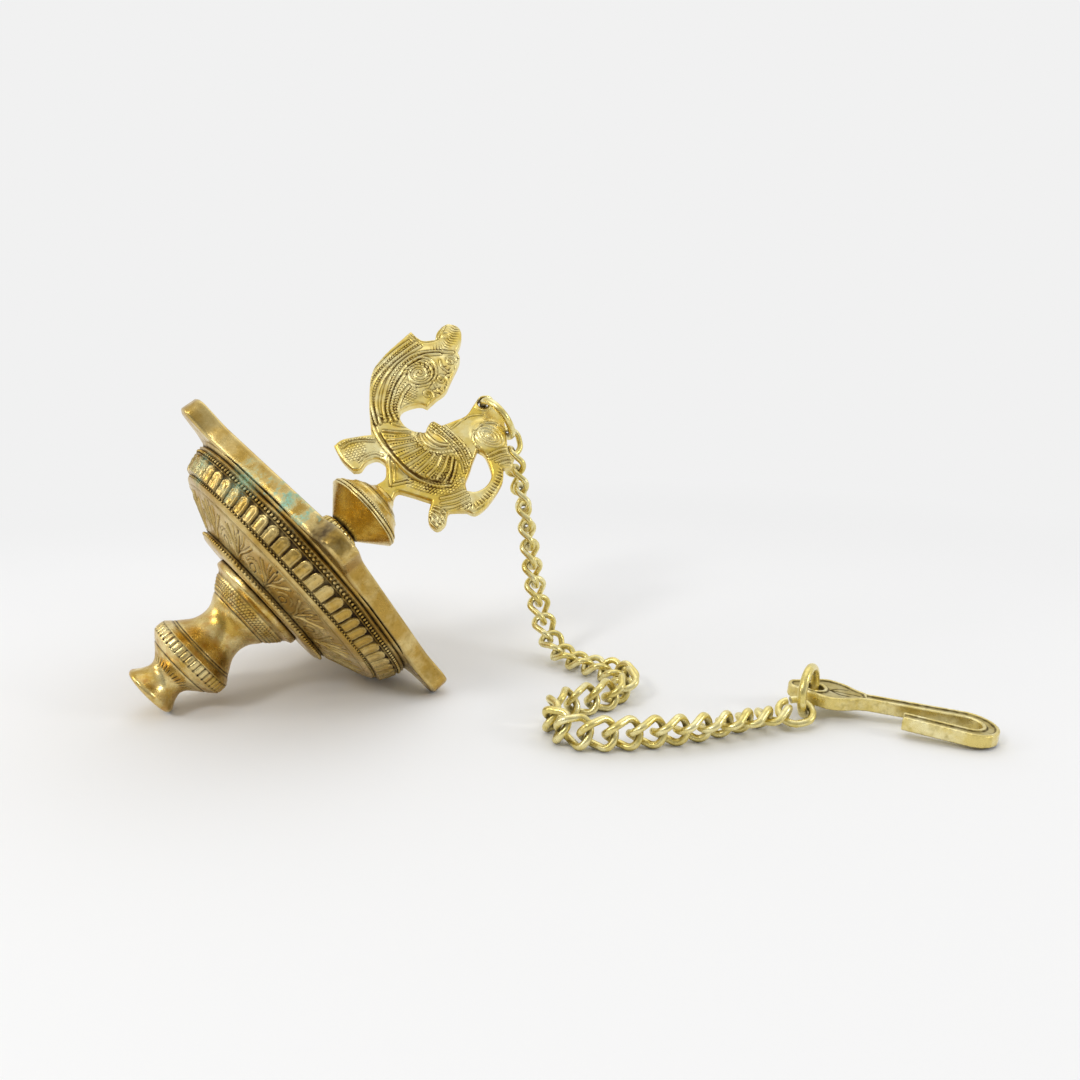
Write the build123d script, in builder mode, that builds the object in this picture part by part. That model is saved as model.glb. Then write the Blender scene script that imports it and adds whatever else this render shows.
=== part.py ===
"""Hanging oil lamp of cast and turned brass, lying as it rests on a floor.

A five-beaked oil bowl sits between a turned drop finial and a stem with a beaded collar and a
double-cone knob. A flat-cast peacock stands on the knob, a ring hangs in its crest, and a curb
chain runs from that ring to a second ring and a flat J hook. The lamp lies on its foot and on two
beaks, the chain falls from the crest and snakes over the floor, and the hook lies at its end.

Millimetres, +Z up, the floor at Z = 0, +X from the lamp towards the hook. Heights of the lamp's
own pieces are measured along its axis from the foot rim.
"""

import os
from math import asin, atan2, cos, degrees, hypot, pi, radians, sin, tan

from build123d import *

# Oil bowl
beak_count = 5
beak_reach = 65.0
beak_tip_half_width = 3.9
beak_root_reach = 55.5
beak_root_half_width = 8.2
beak_tip_round = 4.0
beak_root_round = 9.0
band_bottom = 65.0
band_height = 6.6
band_edge_round = 1.2
seat_height = 44.4
seat_radius = 26.5
bead_ring_radius = 28.8
bead_ring_height = 2.6
cone_top_radius = 45.4
cone_top_height = 53.4
border_step = 0.8
flute_bottom = 55.4
flute_top = 61.0
flute_flare = 2.6
moulding_flare = 1.2
reservoir_floor_height = 48.6
reservoir_floor_radius = 24.0
reservoir_shoulder_radius = 43.0
reservoir_shoulder_height = 57.0
reservoir_mouth_radius = 46.6
spout_width = 4.8
spout_depth = 3.4
spout_reach = 60.5

# Drop finial
foot_radius = 9.3
foot_round = 1.2
foot_dome = 2.0
foot_neck_radius = 6.7
foot_neck_height = 5.4
belt_radius = 15.0
belt_bottom = 14.2
belt_top = 17.6
belt_step = 0.7
waist_radius = 8.7
waist_height = 28.2
flange_radius = 18.5
flange_thickness = 2.2
flange_undercut = 2.0

# Stem, collar and knob
hub_radius = 9.0
hub_height = 3.0
stem_radius = 5.2
collar_radius = 8.1
collar_bottom = 76.0
collar_top = 81.6
knob_throat_radius = 5.4
knob_ridge_radius = 15.5
knob_ridge_bottom = 90.6
knob_ridge_top = 92.4
knob_shoulder_radius = 8.6
knob_shoulder_height = 98.7
knob_neck_radius = 5.0
knob_top = 101.5

# Threaded studs that hold the turned pieces together
stud_radius = 3.0
stud_clearance = 0.15
stud_bottom = 33.0
stud_top = 60.0
upper_stud_radius = 2.4
upper_stud_bottom = 67.0
upper_stud_top = 90.0
spigot_radius = 2.0
spigot_length = 8.0

# Peacock casting, its outline drawn at this height above the knob
bird_height = 70.5
drawn_height = 70.5
bird_thickness = 4.4
body_pad_rise = 2.0
crest_hole_radius = 2.1

# Rings, chain and hook
ring_wire = 2.8
ring_mean_radius = 8.25
ring_droop = -2.6
ring_hang_turn = 40.0
hook_ring_mean_radius = 7.6
link_wire = 2.3
link_pitch = 7.75
link_width = 11.8
link_clearance = 0.3
link_slack = 0.42
link_end_flat = 2.0
link_side_flat = 2.6
end_twist = -45.0
side_twist = -26.0
open_link_length = 12.8
open_link_width = 11.6
open_gap = 1.2
corner_share = 0.46
hook_thickness = 4.3
hook_bar_width = 4.7
hook_bend_radius = 6.4
hook_shank_end = 48.9
hook_arm_turn = 190.0
hook_arm_length = 18.0
hook_eye_radius = 4.2
hook_eye_hole_radius = 3.0
hook_hole_place = 4.2
hook_leaf_half_width = 8.3
hook_leaf_place = 8.8
hook_leaf_end = 21.0
hook_shank_drop = 0.9
hook_recess = 0.5
hook_recess_border = 1.0

# How the pieces lie on the floor
lamp_yaw = 33.1
bird_turn = 137.3
foot_place = (-127.5, -223.5)
floor_gap = 0.1
hook_hole_x = 90.4
hook_hole_y = -222.7
hook_azimuth = -16.8
hook_rise = 4.6
hook_tilt = 4.4
hook_ring_azimuth = 56.0
hook_ring_lift = 0.5
hook_ring_offset = 6.45
hook_ring_contact = 215.0

# The chain's route over the floor, from under the crest ring to the hook's ring
chain_route = [
    (-7.4, -160.0, 64.0),
    (-4.2, -164.8, 46.0),
    (-1.8, -168.4, 29.0),
    (1.0, -172.0, 16.3),
    (4.8, -176.8, 7.4),
    (11.0, -184.0, 3.8),
    (18.5, -190.6, 3.6),
    (25.4, -197.2, 4.1),
    (29.4, -204.4, 5.1),
    (29.7, -212.0, 5.5),
    (26.5, -218.9, 5.6),
    (20.4, -223.2, 5.6),
    (13.0, -226.5, 5.6),
    (6.7, -230.1, 5.6),
    (3.5, -236.7, 5.6),
    (4.7, -243.9, 5.6),
    (10.0, -248.9, 5.6),
    (17.2, -250.2, 5.65),
    (30.0, -249.6, 5.7),
    (42.0, -247.6, 5.6),
    (53.0, -244.4, 5.4),
    (64.0, -240.0, 5.1),
    (71.0, -237.0, 4.8),
]
end_link_start = (77.7, -234.2, 4.4)
# Roll of the links about their own length, as (share of the chain, degrees from lying flat)
chain_roll = [
    (0.0, 78.0),
    (0.12, 48.0),
    (0.3, 14.0),
    (0.4, 5.0),
    (0.5, -50.0),
    (0.56, -85.0),
    (0.74, -95.0),
    (1.0, -155.0),
]


def mixed(stops, share):
    """The value at a share of the way, in straight lines between (share, value) stops."""
    for (low, first), (high, last) in zip(stops, stops[1:]):
        if share <= high:
            return first + (last - first) * (share - low) / (high - low)
    return stops[-1][1]


# The tilt at which the foot rim and two neighbouring beaks touch the floor together
half_step = pi / beak_count
tip_side = Vector(beak_root_half_width - beak_tip_half_width, beak_reach - beak_root_reach).normalized()
tip_corner_x = beak_reach - beak_tip_round
tip_corner_y = beak_tip_half_width - (beak_tip_round - beak_tip_round * tip_side.X) / tip_side.Y
beak_fall = tip_corner_x * cos(half_step) + tip_corner_y * sin(half_step) + beak_tip_round
rim_level = beak_fall - band_edge_round - (foot_radius - foot_round)
rim_rise = band_bottom + band_edge_round
lamp_tilt = atan2(rim_level, rim_rise) + asin((band_edge_round - foot_round) / hypot(rim_level, rim_rise))
foot_z = (foot_radius - foot_round) * cos(lamp_tilt) + foot_round + floor_gap

yaw = radians(lamp_yaw)
turn = radians(bird_turn)
lamp_up = Vector(-sin(lamp_tilt) * cos(yaw), -sin(lamp_tilt) * sin(yaw), cos(lamp_tilt))
lamp_front = Vector(sin(yaw), -cos(yaw), 0)
lamp = Plane(
    origin=(*foot_place, foot_z),
    x_dir=lamp_up * cos(turn) + lamp_front * sin(turn),
    z_dir=(cos(lamp_tilt) * cos(yaw), cos(lamp_tilt) * sin(yaw), sin(lamp_tilt)),
)
section = Plane(origin=lamp.origin, x_dir=lamp.x_dir, z_dir=-lamp.y_dir)
centre_line = Axis(lamp.origin, lamp.z_dir)
beak_start = 180.0 - degrees(half_step) - bird_turn


def beak_corners():
    """Corner points of the beaked band and the radius that rounds each of them."""
    points = []
    radii = []
    for number in range(beak_count):
        along = Vector(1, 0).rotate(Axis.Z, beak_start + number * 360 / beak_count)
        across = along.rotate(Axis.Z, 90)
        for reach, half_width, radius in (
            (beak_root_reach, -beak_root_half_width, beak_root_round),
            (beak_reach, -beak_tip_half_width, beak_tip_round),
            (beak_reach, beak_tip_half_width, beak_tip_round),
            (beak_root_reach, beak_root_half_width, beak_root_round),
        ):
            points.append(along * reach + across * half_width)
            radii.append(radius)
    return points, radii


# Drop finial: foot, belt, waist and flange, turned in one piece
foot_edge = foot_radius - foot_round
foot_rim_top = (foot_edge + foot_round * sin(pi / 3), foot_round * cos(pi / 3))
belt_low = (belt_radius - belt_step, belt_bottom - belt_step)
belt_high = (belt_radius - belt_step, belt_top + belt_step)
flange_low = (flange_radius - flange_undercut, seat_height - flange_thickness - flange_undercut / 2)
with BuildPart() as drop_finial:
    with BuildSketch(section):
        with BuildLine():
            ThreePointArc((0, -foot_dome), (foot_edge / 2, -foot_dome * 0.9), (foot_edge, -foot_round))
            CenterArc((foot_edge, 0), foot_round, -90, 120)
            Spline(
                foot_rim_top,
                (foot_neck_radius, foot_neck_height),
                (foot_neck_radius + 2.0, foot_neck_height + 3.5),
                belt_low,
            )
            Polyline(belt_low, (belt_radius, belt_bottom), (belt_radius, belt_top), belt_high)
            Spline(
                belt_high,
                (waist_radius + 3.2, waist_height - 7.0),
                (waist_radius, waist_height),
                (waist_radius + 2.6, waist_height + 6.2),
                flange_low,
            )
            Polyline(
                flange_low,
                (flange_radius, seat_height - flange_thickness),
                (flange_radius, seat_height),
                (0, seat_height),
                (0, -foot_dome),
            )
        make_face()
    revolve(axis=centre_line)
    with BuildSketch(lamp.offset(seat_height)):
        Circle(stud_radius + stud_clearance)
    extrude(amount=-(seat_height - stud_bottom + stud_clearance), mode=Mode.SUBTRACT)

# Oil bowl: turned cone, fluted pentagon band, beaked band with a wick groove in each beak
border_radius = cone_top_radius + border_step
with BuildPart() as oil_bowl:
    with BuildSketch(lamp.offset(band_bottom)):
        with BuildLine():
            corner_points, corner_radii = beak_corners()
            FilletPolyline(*corner_points, radius=corner_radii, close=True)
        make_face()
    extrude(amount=band_height)
    fillet(oil_bowl.faces().sort_by(centre_line)[0].edges(), band_edge_round)
    with BuildSketch(section):
        with BuildLine():
            Polyline(
                (0, seat_height),
                (seat_radius, seat_height),
                (bead_ring_radius - 0.6, seat_height + bead_ring_height * 0.2),
                (bead_ring_radius, seat_height + bead_ring_height * 0.5),
                (bead_ring_radius - 0.4, seat_height + bead_ring_height),
                (cone_top_radius, cone_top_height),
                (border_radius, cone_top_height + border_step),
                (border_radius, flute_bottom),
                (0, flute_bottom),
                close=True,
            )
        make_face()
    revolve(axis=centre_line)
    for low, high, first, last in (
        (flute_bottom, flute_top, border_radius, border_radius + flute_flare),
        (flute_top, band_bottom, border_radius + flute_flare, border_radius + flute_flare + moulding_flare),
    ):
        with BuildSketch(lamp.offset(low)) as low_edge:
            RegularPolygon(first, beak_count, major_radius=False, rotation=beak_start)
            fillet(low_edge.vertices(), first * 0.8)
        with BuildSketch(lamp.offset(high)) as high_edge:
            RegularPolygon(last, beak_count, major_radius=False, rotation=beak_start)
            fillet(high_edge.vertices(), last * 0.8)
        loft(ruled=True)
    with BuildSketch(section):
        with BuildLine():
            Polyline(
                (0, reservoir_floor_height),
                (reservoir_floor_radius, reservoir_floor_height),
                (reservoir_shoulder_radius, reservoir_shoulder_height),
                (reservoir_mouth_radius, band_bottom),
                (reservoir_mouth_radius, band_bottom + band_height + 1),
                (0, band_bottom + band_height + 1),
                close=True,
            )
        make_face()
    revolve(axis=centre_line, mode=Mode.SUBTRACT)
    spout_length = spout_reach - reservoir_mouth_radius + spout_width
    with BuildSketch(lamp.offset(band_bottom + band_height)):
        with PolarLocations(spout_reach - spout_length / 2, beak_count, start_angle=beak_start):
            SlotOverall(spout_length, spout_width)
    extrude(amount=-spout_depth, mode=Mode.SUBTRACT)
    with BuildSketch(lamp.offset(seat_height)):
        Circle(stud_radius + stud_clearance)
    extrude(amount=reservoir_floor_height - seat_height, mode=Mode.SUBTRACT)

# Centre stud: screwed from the finial through the bowl floor into the stem
with BuildPart() as centre_stud:
    with BuildSketch(lamp.offset(stud_bottom)):
        Circle(stud_radius)
    extrude(amount=stud_top - stud_bottom)

# Stem: clamps the bowl floor with its hub and carries the collar
with BuildPart() as stem:
    with BuildSketch(lamp.offset(reservoir_floor_height)):
        Circle(hub_radius)
    extrude(amount=hub_height, taper=30)
    with BuildSketch(lamp.offset(reservoir_floor_height)):
        Circle(stem_radius)
    extrude(amount=collar_bottom - reservoir_floor_height)
    with BuildSketch(lamp.offset(reservoir_floor_height)):
        Circle(stud_radius + stud_clearance)
    extrude(amount=stud_top + stud_clearance - reservoir_floor_height, mode=Mode.SUBTRACT)
    with BuildSketch(lamp.offset(collar_bottom)):
        Circle(upper_stud_radius + stud_clearance)
    extrude(amount=upper_stud_bottom - stud_clearance - collar_bottom, mode=Mode.SUBTRACT)

# Beaded collar: a ring between stem and knob
with BuildPart() as beaded_collar:
    with BuildSketch(lamp.offset(collar_bottom)):
        Circle(collar_radius)
    collar_ring = extrude(amount=collar_top - collar_bottom)
    fillet(collar_ring.edges().filter_by(GeomType.CIRCLE), (collar_top - collar_bottom) * 0.3)
    with BuildSketch(lamp.offset(collar_bottom)):
        Circle(upper_stud_radius + stud_clearance)
    extrude(amount=collar_top - collar_bottom, mode=Mode.SUBTRACT)

# Upper stud: joins stem, collar and knob
with BuildPart() as upper_stud:
    with BuildSketch(lamp.offset(upper_stud_bottom)):
        Circle(upper_stud_radius)
    extrude(amount=upper_stud_top - upper_stud_bottom)

# Knob: two cones meeting at a ridge, with a neck under the bird
with BuildPart() as knob:
    with BuildSketch(section):
        with BuildLine():
            Polyline(
                (0, knob_top),
                (0, collar_top),
                (knob_throat_radius, collar_top),
                (knob_ridge_radius, knob_ridge_bottom),
                (knob_ridge_radius, knob_ridge_top),
                (knob_shoulder_radius, knob_shoulder_height),
            )
            Spline(
                (knob_shoulder_radius, knob_shoulder_height),
                (knob_neck_radius + 0.6, knob_top - 1.4),
                (knob_neck_radius, knob_top),
            )
            Line((knob_neck_radius, knob_top), (0, knob_top))
        make_face()
    revolve(axis=centre_line)
    with BuildSketch(lamp.offset(collar_top)):
        Circle(upper_stud_radius + stud_clearance)
    extrude(amount=upper_stud_top + stud_clearance - collar_top, mode=Mode.SUBTRACT)
    with BuildSketch(lamp.offset(knob_top)):
        Circle(spigot_radius + stud_clearance)
    extrude(amount=-(spigot_length + stud_clearance), mode=Mode.SUBTRACT)

# Peacock outline in strokes between its cusps, from the neck of the knob clockwise
bird_plane = Plane(origin=lamp.offset(knob_top).origin, x_dir=section.x_dir, z_dir=section.z_dir)
bird_scale = bird_height / drawn_height
bird_strokes = [
    [(-4.6, 0.0), (-4.1, 4.0), (-6.1, 6.6), (-8.9, 8.4), (-12.5, 7.5), (-13.9, 3.9), (-13.1, 0.2), (-14.6, -2.0)],
    [(-14.6, -2.0), (-20.6, -2.0), (-27.2, -0.2)],
    [(-27.2, -0.2), (-27.1, 3.7), (-23.7, 9.5), (-21.3, 12.9)],
    [(-21.3, 12.9), (-31.6, 21.1), (-41.0, 30.7), (-44.0, 39.4), (-45.1, 51.6), (-45.3, 55.2)],
    [(-45.3, 55.2), (-41.4, 55.1), (-38.5, 55.9), (-35.9, 59.5)],
    [(-35.9, 59.5), (-38.2, 63.0), (-38.3, 68.0), (-34.5, 70.5), (-30.8, 69.1), (-27.5, 64.8), (-26.7, 62.3)],
    [(-26.7, 62.3), (-23.9, 61.4), (-21.9, 59.0), (-18.4, 51.2), (-16.1, 46.1), (-16.2, 40.9), (-15.9, 36.4)],
    [(-15.9, 36.4), (-18.9, 34.8), (-21.4, 29.0), (-19.8, 25.8), (-15.8, 24.6), (-11.6, 25.5), (-8.0, 28.2)],
    [(-8.0, 28.2), (-9.5, 30.8), (-9.6, 33.7), (-6.1, 34.8)],
    [(-6.1, 34.8), (-4.5, 39.2), (-2.9, 44.7), (-4.4, 50.5), (-5.2, 54.7), (-2.7, 57.4), (0.4, 57.0)],
    [(0.4, 57.0), (7.0, 54.8), (15.2, 48.6), (19.3, 45.4), (23.5, 43.8), (25.1, 41.4)],
    [(25.1, 41.4), (22.6, 38.7), (23.8, 38.3)],
    [(23.8, 38.3), (26.6, 34.8), (28.7, 28.3), (29.6, 22.4), (28.8, 18.3), (25.9, 16.9)],
    [(25.9, 16.9), (22.5, 13.3), (21.8, 11.5), (24.2, 7.8), (23.8, 4.1), (20.2, 3.7), (17.3, 5.9), (14.3, 10.3)],
    [(14.3, 10.3), (6.1, 6.1), (3.0, 4.1), (3.2, 2.0), (4.6, 0.0)],
    [(4.6, 0.0), (-4.6, 0.0)],
]
chest_hole = [
    [(10.7, 37.4), (14.0, 37.9), (18.8, 35.9), (22.4, 33.2), (23.7, 28.8), (22.6, 24.8), (20.1, 22.7)],
    [(20.1, 22.7), (17.2, 24.8), (15.1, 29.0), (13.0, 32.6), (10.7, 37.4)],
]
crest_hole_place = (-2.4 * bird_scale, 53.3 * bird_scale)
with BuildPart() as bird:
    with BuildSketch(bird_plane):
        with BuildLine():
            for stroke in bird_strokes:
                points = [(x * bird_scale, y * bird_scale) for x, y in stroke]
                Spline(*points) if len(points) > 2 else Line(*points)
        make_face()
        with Locations(crest_hole_place):
            Circle(crest_hole_radius, mode=Mode.SUBTRACT)
    extrude(amount=bird_thickness / 2, both=True)
    with BuildSketch(bird_plane):
        with BuildLine():
            for stroke in chest_hole:
                Spline(*[(x * bird_scale, y * bird_scale) for x, y in stroke])
        make_face()
    extrude(amount=bird_thickness / 2, both=True, mode=Mode.SUBTRACT)
    with BuildSketch(lamp.offset(knob_top)):
        Circle(spigot_radius)
    extrude(amount=-spigot_length)
    with BuildSketch(bird_plane):
        with Locations((-1.0 * bird_scale, 21.0 * bird_scale)):
            Ellipse(12.5 * bird_scale, 8.5 * bird_scale, rotation=50)
    extrude(amount=bird_thickness / 2 + body_pad_rise, both=True)

# Top ring: hangs in the crest hole, its plane square to the casting
droop = radians(ring_droop)
ring_reach = bird_plane.x_dir * cos(droop) + lamp.z_dir * sin(droop)
crest_hole = bird_plane.from_local_coords((*crest_hole_place, 0))
ring_centre = crest_hole + ring_reach * ring_mean_radius
top_ring_plane = Plane(origin=ring_centre, x_dir=ring_reach, z_dir=ring_reach.cross(bird_plane.z_dir))
hang_turn = radians(ring_hang_turn)
ring_out = ring_reach * cos(hang_turn) - bird_plane.z_dir * sin(hang_turn)
ring_hang = ring_centre + ring_out * ring_mean_radius
ring_tangent = top_ring_plane.z_dir.cross(ring_out)
with BuildPart(top_ring_plane) as top_ring:
    Torus(ring_mean_radius, ring_wire / 2)

# Hook ring: stands on the floor, through the hook's eye and round its near edge
hook_way = Vector(1, 0, 0).rotate(Axis.Z, hook_azimuth)
hook_up = Vector(0, 0, 1).rotate(Axis((0, 0, 0), hook_way.rotate(Axis.Z, 90)), hook_tilt)
hook_plane = Plane(
    origin=(hook_hole_x, hook_hole_y, hook_rise),
    x_dir=hook_way.rotate(Axis((0, 0, 0), hook_way.rotate(Axis.Z, 90)), hook_tilt),
    z_dir=hook_up,
)
ring_way = Vector(1, 0, 0).rotate(Axis.Z, hook_ring_azimuth)
hook_ring_height = hook_ring_mean_radius + ring_wire / 2 + hook_ring_lift
hook_ring_centre = Vector(hook_hole_x, hook_hole_y, hook_ring_height) - ring_way * hook_ring_offset
hook_ring_plane = Plane(
    origin=hook_ring_centre,
    x_dir=ring_way,
    z_dir=ring_way.cross(Vector(0, 0, 1)),
)
with BuildPart(hook_ring_plane) as end_ring:
    Torus(hook_ring_mean_radius, ring_wire / 2)

# Hook: a pierced leaf, a straight shank and a flat J bend with a raised border
leaf_offset = -hook_hole_place
with BuildPart() as hook:
    with BuildSketch(hook_plane) as hook_outline:
        with BuildLine():
            leaf_top = Spline(
                (leaf_offset - hook_eye_radius, 0),
                (leaf_offset, hook_eye_radius),
                (leaf_offset + hook_leaf_place, hook_leaf_half_width),
                (leaf_offset + hook_leaf_end, hook_bar_width / 2 - hook_shank_drop),
                tangents=((0, 1), (1, -0.1)),
            )
            Spline(
                (leaf_offset - hook_eye_radius, 0),
                (leaf_offset, -hook_eye_radius),
                (leaf_offset + hook_leaf_place, -hook_leaf_half_width + 0.6),
                (leaf_offset + hook_leaf_end, -hook_bar_width / 2 - hook_shank_drop),
                tangents=((0, -1), (1, 0.1)),
            )
            Line(
                (leaf_offset + hook_leaf_end, hook_bar_width / 2 - hook_shank_drop),
                (leaf_offset + hook_leaf_end, -hook_bar_width / 2 - hook_shank_drop),
            )
        make_face()
        with BuildLine() as bar_line:
            shank = Line(
                (leaf_offset + hook_leaf_end - 1, -hook_shank_drop),
                (leaf_offset + hook_shank_end, -hook_shank_drop),
            )
            bend = JernArc(shank @ 1, (1, 0), hook_bend_radius, -hook_arm_turn)
            Line(bend @ 1, bend @ 1 + (bend % 1) * hook_arm_length)
        trace(line_width=hook_bar_width)
    extrude(amount=hook_thickness)
    with BuildSketch(hook_plane):
        Circle(hook_eye_hole_radius)
    extrude(amount=hook_thickness, mode=Mode.SUBTRACT)

# Open link that hangs in the top ring, and the open link at the hook's ring
contact_gap = (ring_wire + link_wire) / 2 + link_clearance
open_half = (open_link_length - link_wire) / 2
ring_to_joint = 2 * open_half - contact_gap - (link_wire + link_clearance) / 2
contact_angle = radians(hook_ring_contact)
hook_ring_hang = hook_ring_plane.from_local_coords(
    (hook_ring_mean_radius * cos(contact_angle), hook_ring_mean_radius * sin(contact_angle), 0)
)


def toward(start, goal, length):
    """The point at a length from the start, on the way to the goal."""
    return start + (goal - start).normalized() * length


route_points = [Vector(*point) for point in chain_route]
first_joint = toward(ring_hang, route_points[0], ring_to_joint)
last_joint = toward(hook_ring_hang, Vector(*end_link_start), ring_to_joint)
route = Spline(first_joint, *route_points, last_joint)


def joints_along(curve, step):
    """Points one step apart along a curve, with the length that is left over at its end."""
    points = [curve @ 0]
    share = 0.0
    length = curve.length
    while True:
        low = share
        high = share + 1.5 * step / length
        if (curve @ min(high, 1.0) - points[-1]).length < step:
            return points, (curve @ 1.0 - points[-1]).length
        for _ in range(30):
            middle = (low + high) / 2
            if (curve @ min(middle, 1.0) - points[-1]).length < step:
                low = middle
            else:
                high = middle
        share = high
        points.append(curve @ share)


def fitted_joints(curve, step):
    """Joint points whose even step is the nearest to the given one that ends on the curve's end."""
    points, left = joints_along(curve, step)
    count = len(points) - 1
    if left > step / 2:
        count += 1
    low = step * 0.9
    high = step * 1.1
    for _ in range(30):
        middle = (low + high) / 2
        if len(joints_along(curve, middle)[0]) - 1 >= count:
            low = middle
        else:
            high = middle
    return joints_along(curve, low)[0]


def link_corners(length, width, end_turn=0.0, side_turn=0.0):
    """Corners of a link's wire about its own centre: X along the link, its ends and sides twisted."""
    half_length = (length - link_wire) / 2
    half_width = (width - link_wire) / 2
    corners = []
    for x, y, twist in (
        (half_length, -link_end_flat, end_turn),
        (half_length, link_end_flat, end_turn),
        (link_side_flat, half_width, side_turn),
        (-link_side_flat, half_width, -side_turn),
        (-half_length, link_end_flat, -end_turn),
        (-half_length, -link_end_flat, -end_turn),
        (-link_side_flat, -half_width, -side_turn),
        (link_side_flat, -half_width, side_turn),
    ):
        corners.append(Vector(x, y, 0).rotate(Axis.X, twist))
    return corners


def corner_radii_of(points):
    """The arc at each corner that takes a set share of the shorter run beside it."""
    radii = []
    for before, corner, after in zip(points[-1:] + points[:-1], points, points[1:] + points[:1]):
        bend = radians((corner - before).get_angle(after - corner))
        run = min((corner - before).length, (after - corner).length)
        radii.append(corner_share * run / tan(bend / 2))
    return radii


def bent_link(plane, corners):
    """One link of round wire on a plane, bent round its corners in two halves that meet at its ends."""
    points = [plane.from_local_coords(corner) for corner in corners]
    radii = corner_radii_of(points)
    half = len(points) // 2
    right_end = (points[0] + points[1]) / 2
    left_end = (points[half] + points[half + 1]) / 2
    with BuildPart() as piece:
        for start, middle, radii_here, end in (
            (right_end, points[1 : half + 1], radii[1 : half + 1], left_end),
            (left_end, points[half + 1 :] + points[:1], radii[half + 1 :] + radii[:1], right_end),
        ):
            with BuildLine() as wire_line:
                FilletPolyline(start, *middle, end, radius=radii_here)
            with BuildSketch(Plane(origin=start, z_dir=middle[0] - start)):
                Circle(link_wire / 2)
            sweep(path=wire_line.line)
    return piece


def open_link(plane):
    """A flat round link with a gap in the middle of one side."""
    piece = bent_link(plane, link_corners(open_link_length, open_link_width))
    gap_centre = plane.from_local_coords((0, (link_wire - open_link_width) / 2, 0))
    with piece:
        with Locations(Plane(origin=gap_centre, x_dir=plane.x_dir, z_dir=plane.z_dir)):
            Box(open_gap, 2 * link_wire, 2 * link_wire, mode=Mode.SUBTRACT)
    return piece


def rolled_plane(start, end, roll):
    """The plane of a link between two points, turned about its length from lying flat."""
    along = (end - start).normalized()
    level = Vector(0, 0, 1).cross(along).normalized()
    face = along.cross(level).rotate(Axis((0, 0, 0), along), -roll)
    return Plane(origin=(start + end) / 2, x_dir=along, z_dir=face)


def slope(way, wire_way):
    """How square a link stands to the ring wire in its end, from 0 for along it to 1 for square."""
    return way.cross(wire_way).length


top_link_way = (first_joint - ring_hang).normalized()
top_link_plane = Plane(
    origin=ring_hang + top_link_way * (open_half - contact_gap / slope(top_link_way, ring_tangent)),
    x_dir=top_link_way,
    z_dir=top_link_way.cross(ring_tangent.cross(top_link_way)),
)
top_link = open_link(top_link_plane)

link_joints = fitted_joints(route, link_pitch - link_slack)
link_length = link_pitch + 2 * link_wire + link_clearance
link_count = len(link_joints) - 1
link_planes = []
links = []
for number in range(link_count):
    roll = mixed(chain_roll, number / (link_count - 1))
    link_plane = rolled_plane(link_joints[number], link_joints[number + 1], roll)
    link_planes.append(link_plane)
    links.append(bent_link(link_plane, link_corners(link_length, link_width, end_twist, side_twist)))

end_link_way = (hook_ring_hang - link_joints[-1]).normalized()
hook_ring_tangent = hook_ring_plane.z_dir.cross(hook_ring_hang - hook_ring_centre).normalized()
end_link_plane = Plane(
    origin=hook_ring_hang - end_link_way * (open_half - contact_gap / slope(end_link_way, hook_ring_tangent)),
    x_dir=end_link_way,
    z_dir=end_link_way.cross(hook_ring_tangent.cross(end_link_way)),
)
end_link = open_link(end_link_plane)

pieces = {
    "oil_bowl": oil_bowl,
    "drop_finial": drop_finial,
    "centre_stud": centre_stud,
    "stem": stem,
    "beaded_collar": beaded_collar,
    "upper_stud": upper_stud,
    "knob": knob,
    "bird": bird,
    "top_ring": top_ring,
    "top_link": top_link,
    "end_link": end_link,
    "end_ring": end_ring,
    "hook": hook,
}
for number, link in enumerate(links, start=1):
    pieces[f"link_{number:02d}"] = link

# The origin goes under the middle of the whole, on the floor
whole = Compound([piece.part for piece in pieces.values()]).bounding_box()
middle = whole.center()
to_origin = Vector(-middle.X, -middle.Y, -whole.min.Z)

os.makedirs("parts", exist_ok=True)
for name, piece in pieces.items():
    piece.part.move(Location(to_origin))
    piece.part.label = name
    export_step(piece.part, f"parts/{name}.step")
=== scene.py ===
"""Looks of a hanging oil lamp in cast and turned brass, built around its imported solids.

The lamp lies on its foot and two beaks, with its chain and hook over the floor. Sizes are in
millimetres in each piece's own frame, and metres once a piece is placed in the row frame.
"""

import logging
import math
from collections.abc import Callable, Iterable, Sequence
from dataclasses import dataclass, field
from enum import Enum
from functools import partial

import bmesh
import bpy
import numpy as np
from mathutils import Matrix, Vector


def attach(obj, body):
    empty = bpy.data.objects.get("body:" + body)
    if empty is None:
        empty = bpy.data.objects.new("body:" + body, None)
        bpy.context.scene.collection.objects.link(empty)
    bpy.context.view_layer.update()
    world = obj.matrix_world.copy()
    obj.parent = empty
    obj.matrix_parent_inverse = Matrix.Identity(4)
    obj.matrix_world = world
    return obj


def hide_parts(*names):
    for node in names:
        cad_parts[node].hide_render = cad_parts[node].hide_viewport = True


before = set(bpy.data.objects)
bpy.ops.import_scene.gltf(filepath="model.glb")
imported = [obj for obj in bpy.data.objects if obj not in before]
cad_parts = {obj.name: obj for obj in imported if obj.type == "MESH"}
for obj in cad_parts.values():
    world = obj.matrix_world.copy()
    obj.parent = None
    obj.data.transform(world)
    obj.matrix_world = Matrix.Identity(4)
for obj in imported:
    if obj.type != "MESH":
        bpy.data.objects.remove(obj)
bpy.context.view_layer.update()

log = logging.getLogger("oil_lamp")
logging.basicConfig(level=logging.INFO, format="%(name)s: %(message)s")

Point = tuple[float, float]
Spot = tuple[float, float, float]
Field = Callable[[np.ndarray], np.ndarray]
Socket = bpy.types.NodeSocket
Tree = bpy.types.NodeTree
METRES = 0.001
FULL_TURN = 2 * math.pi


# Placing


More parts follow.
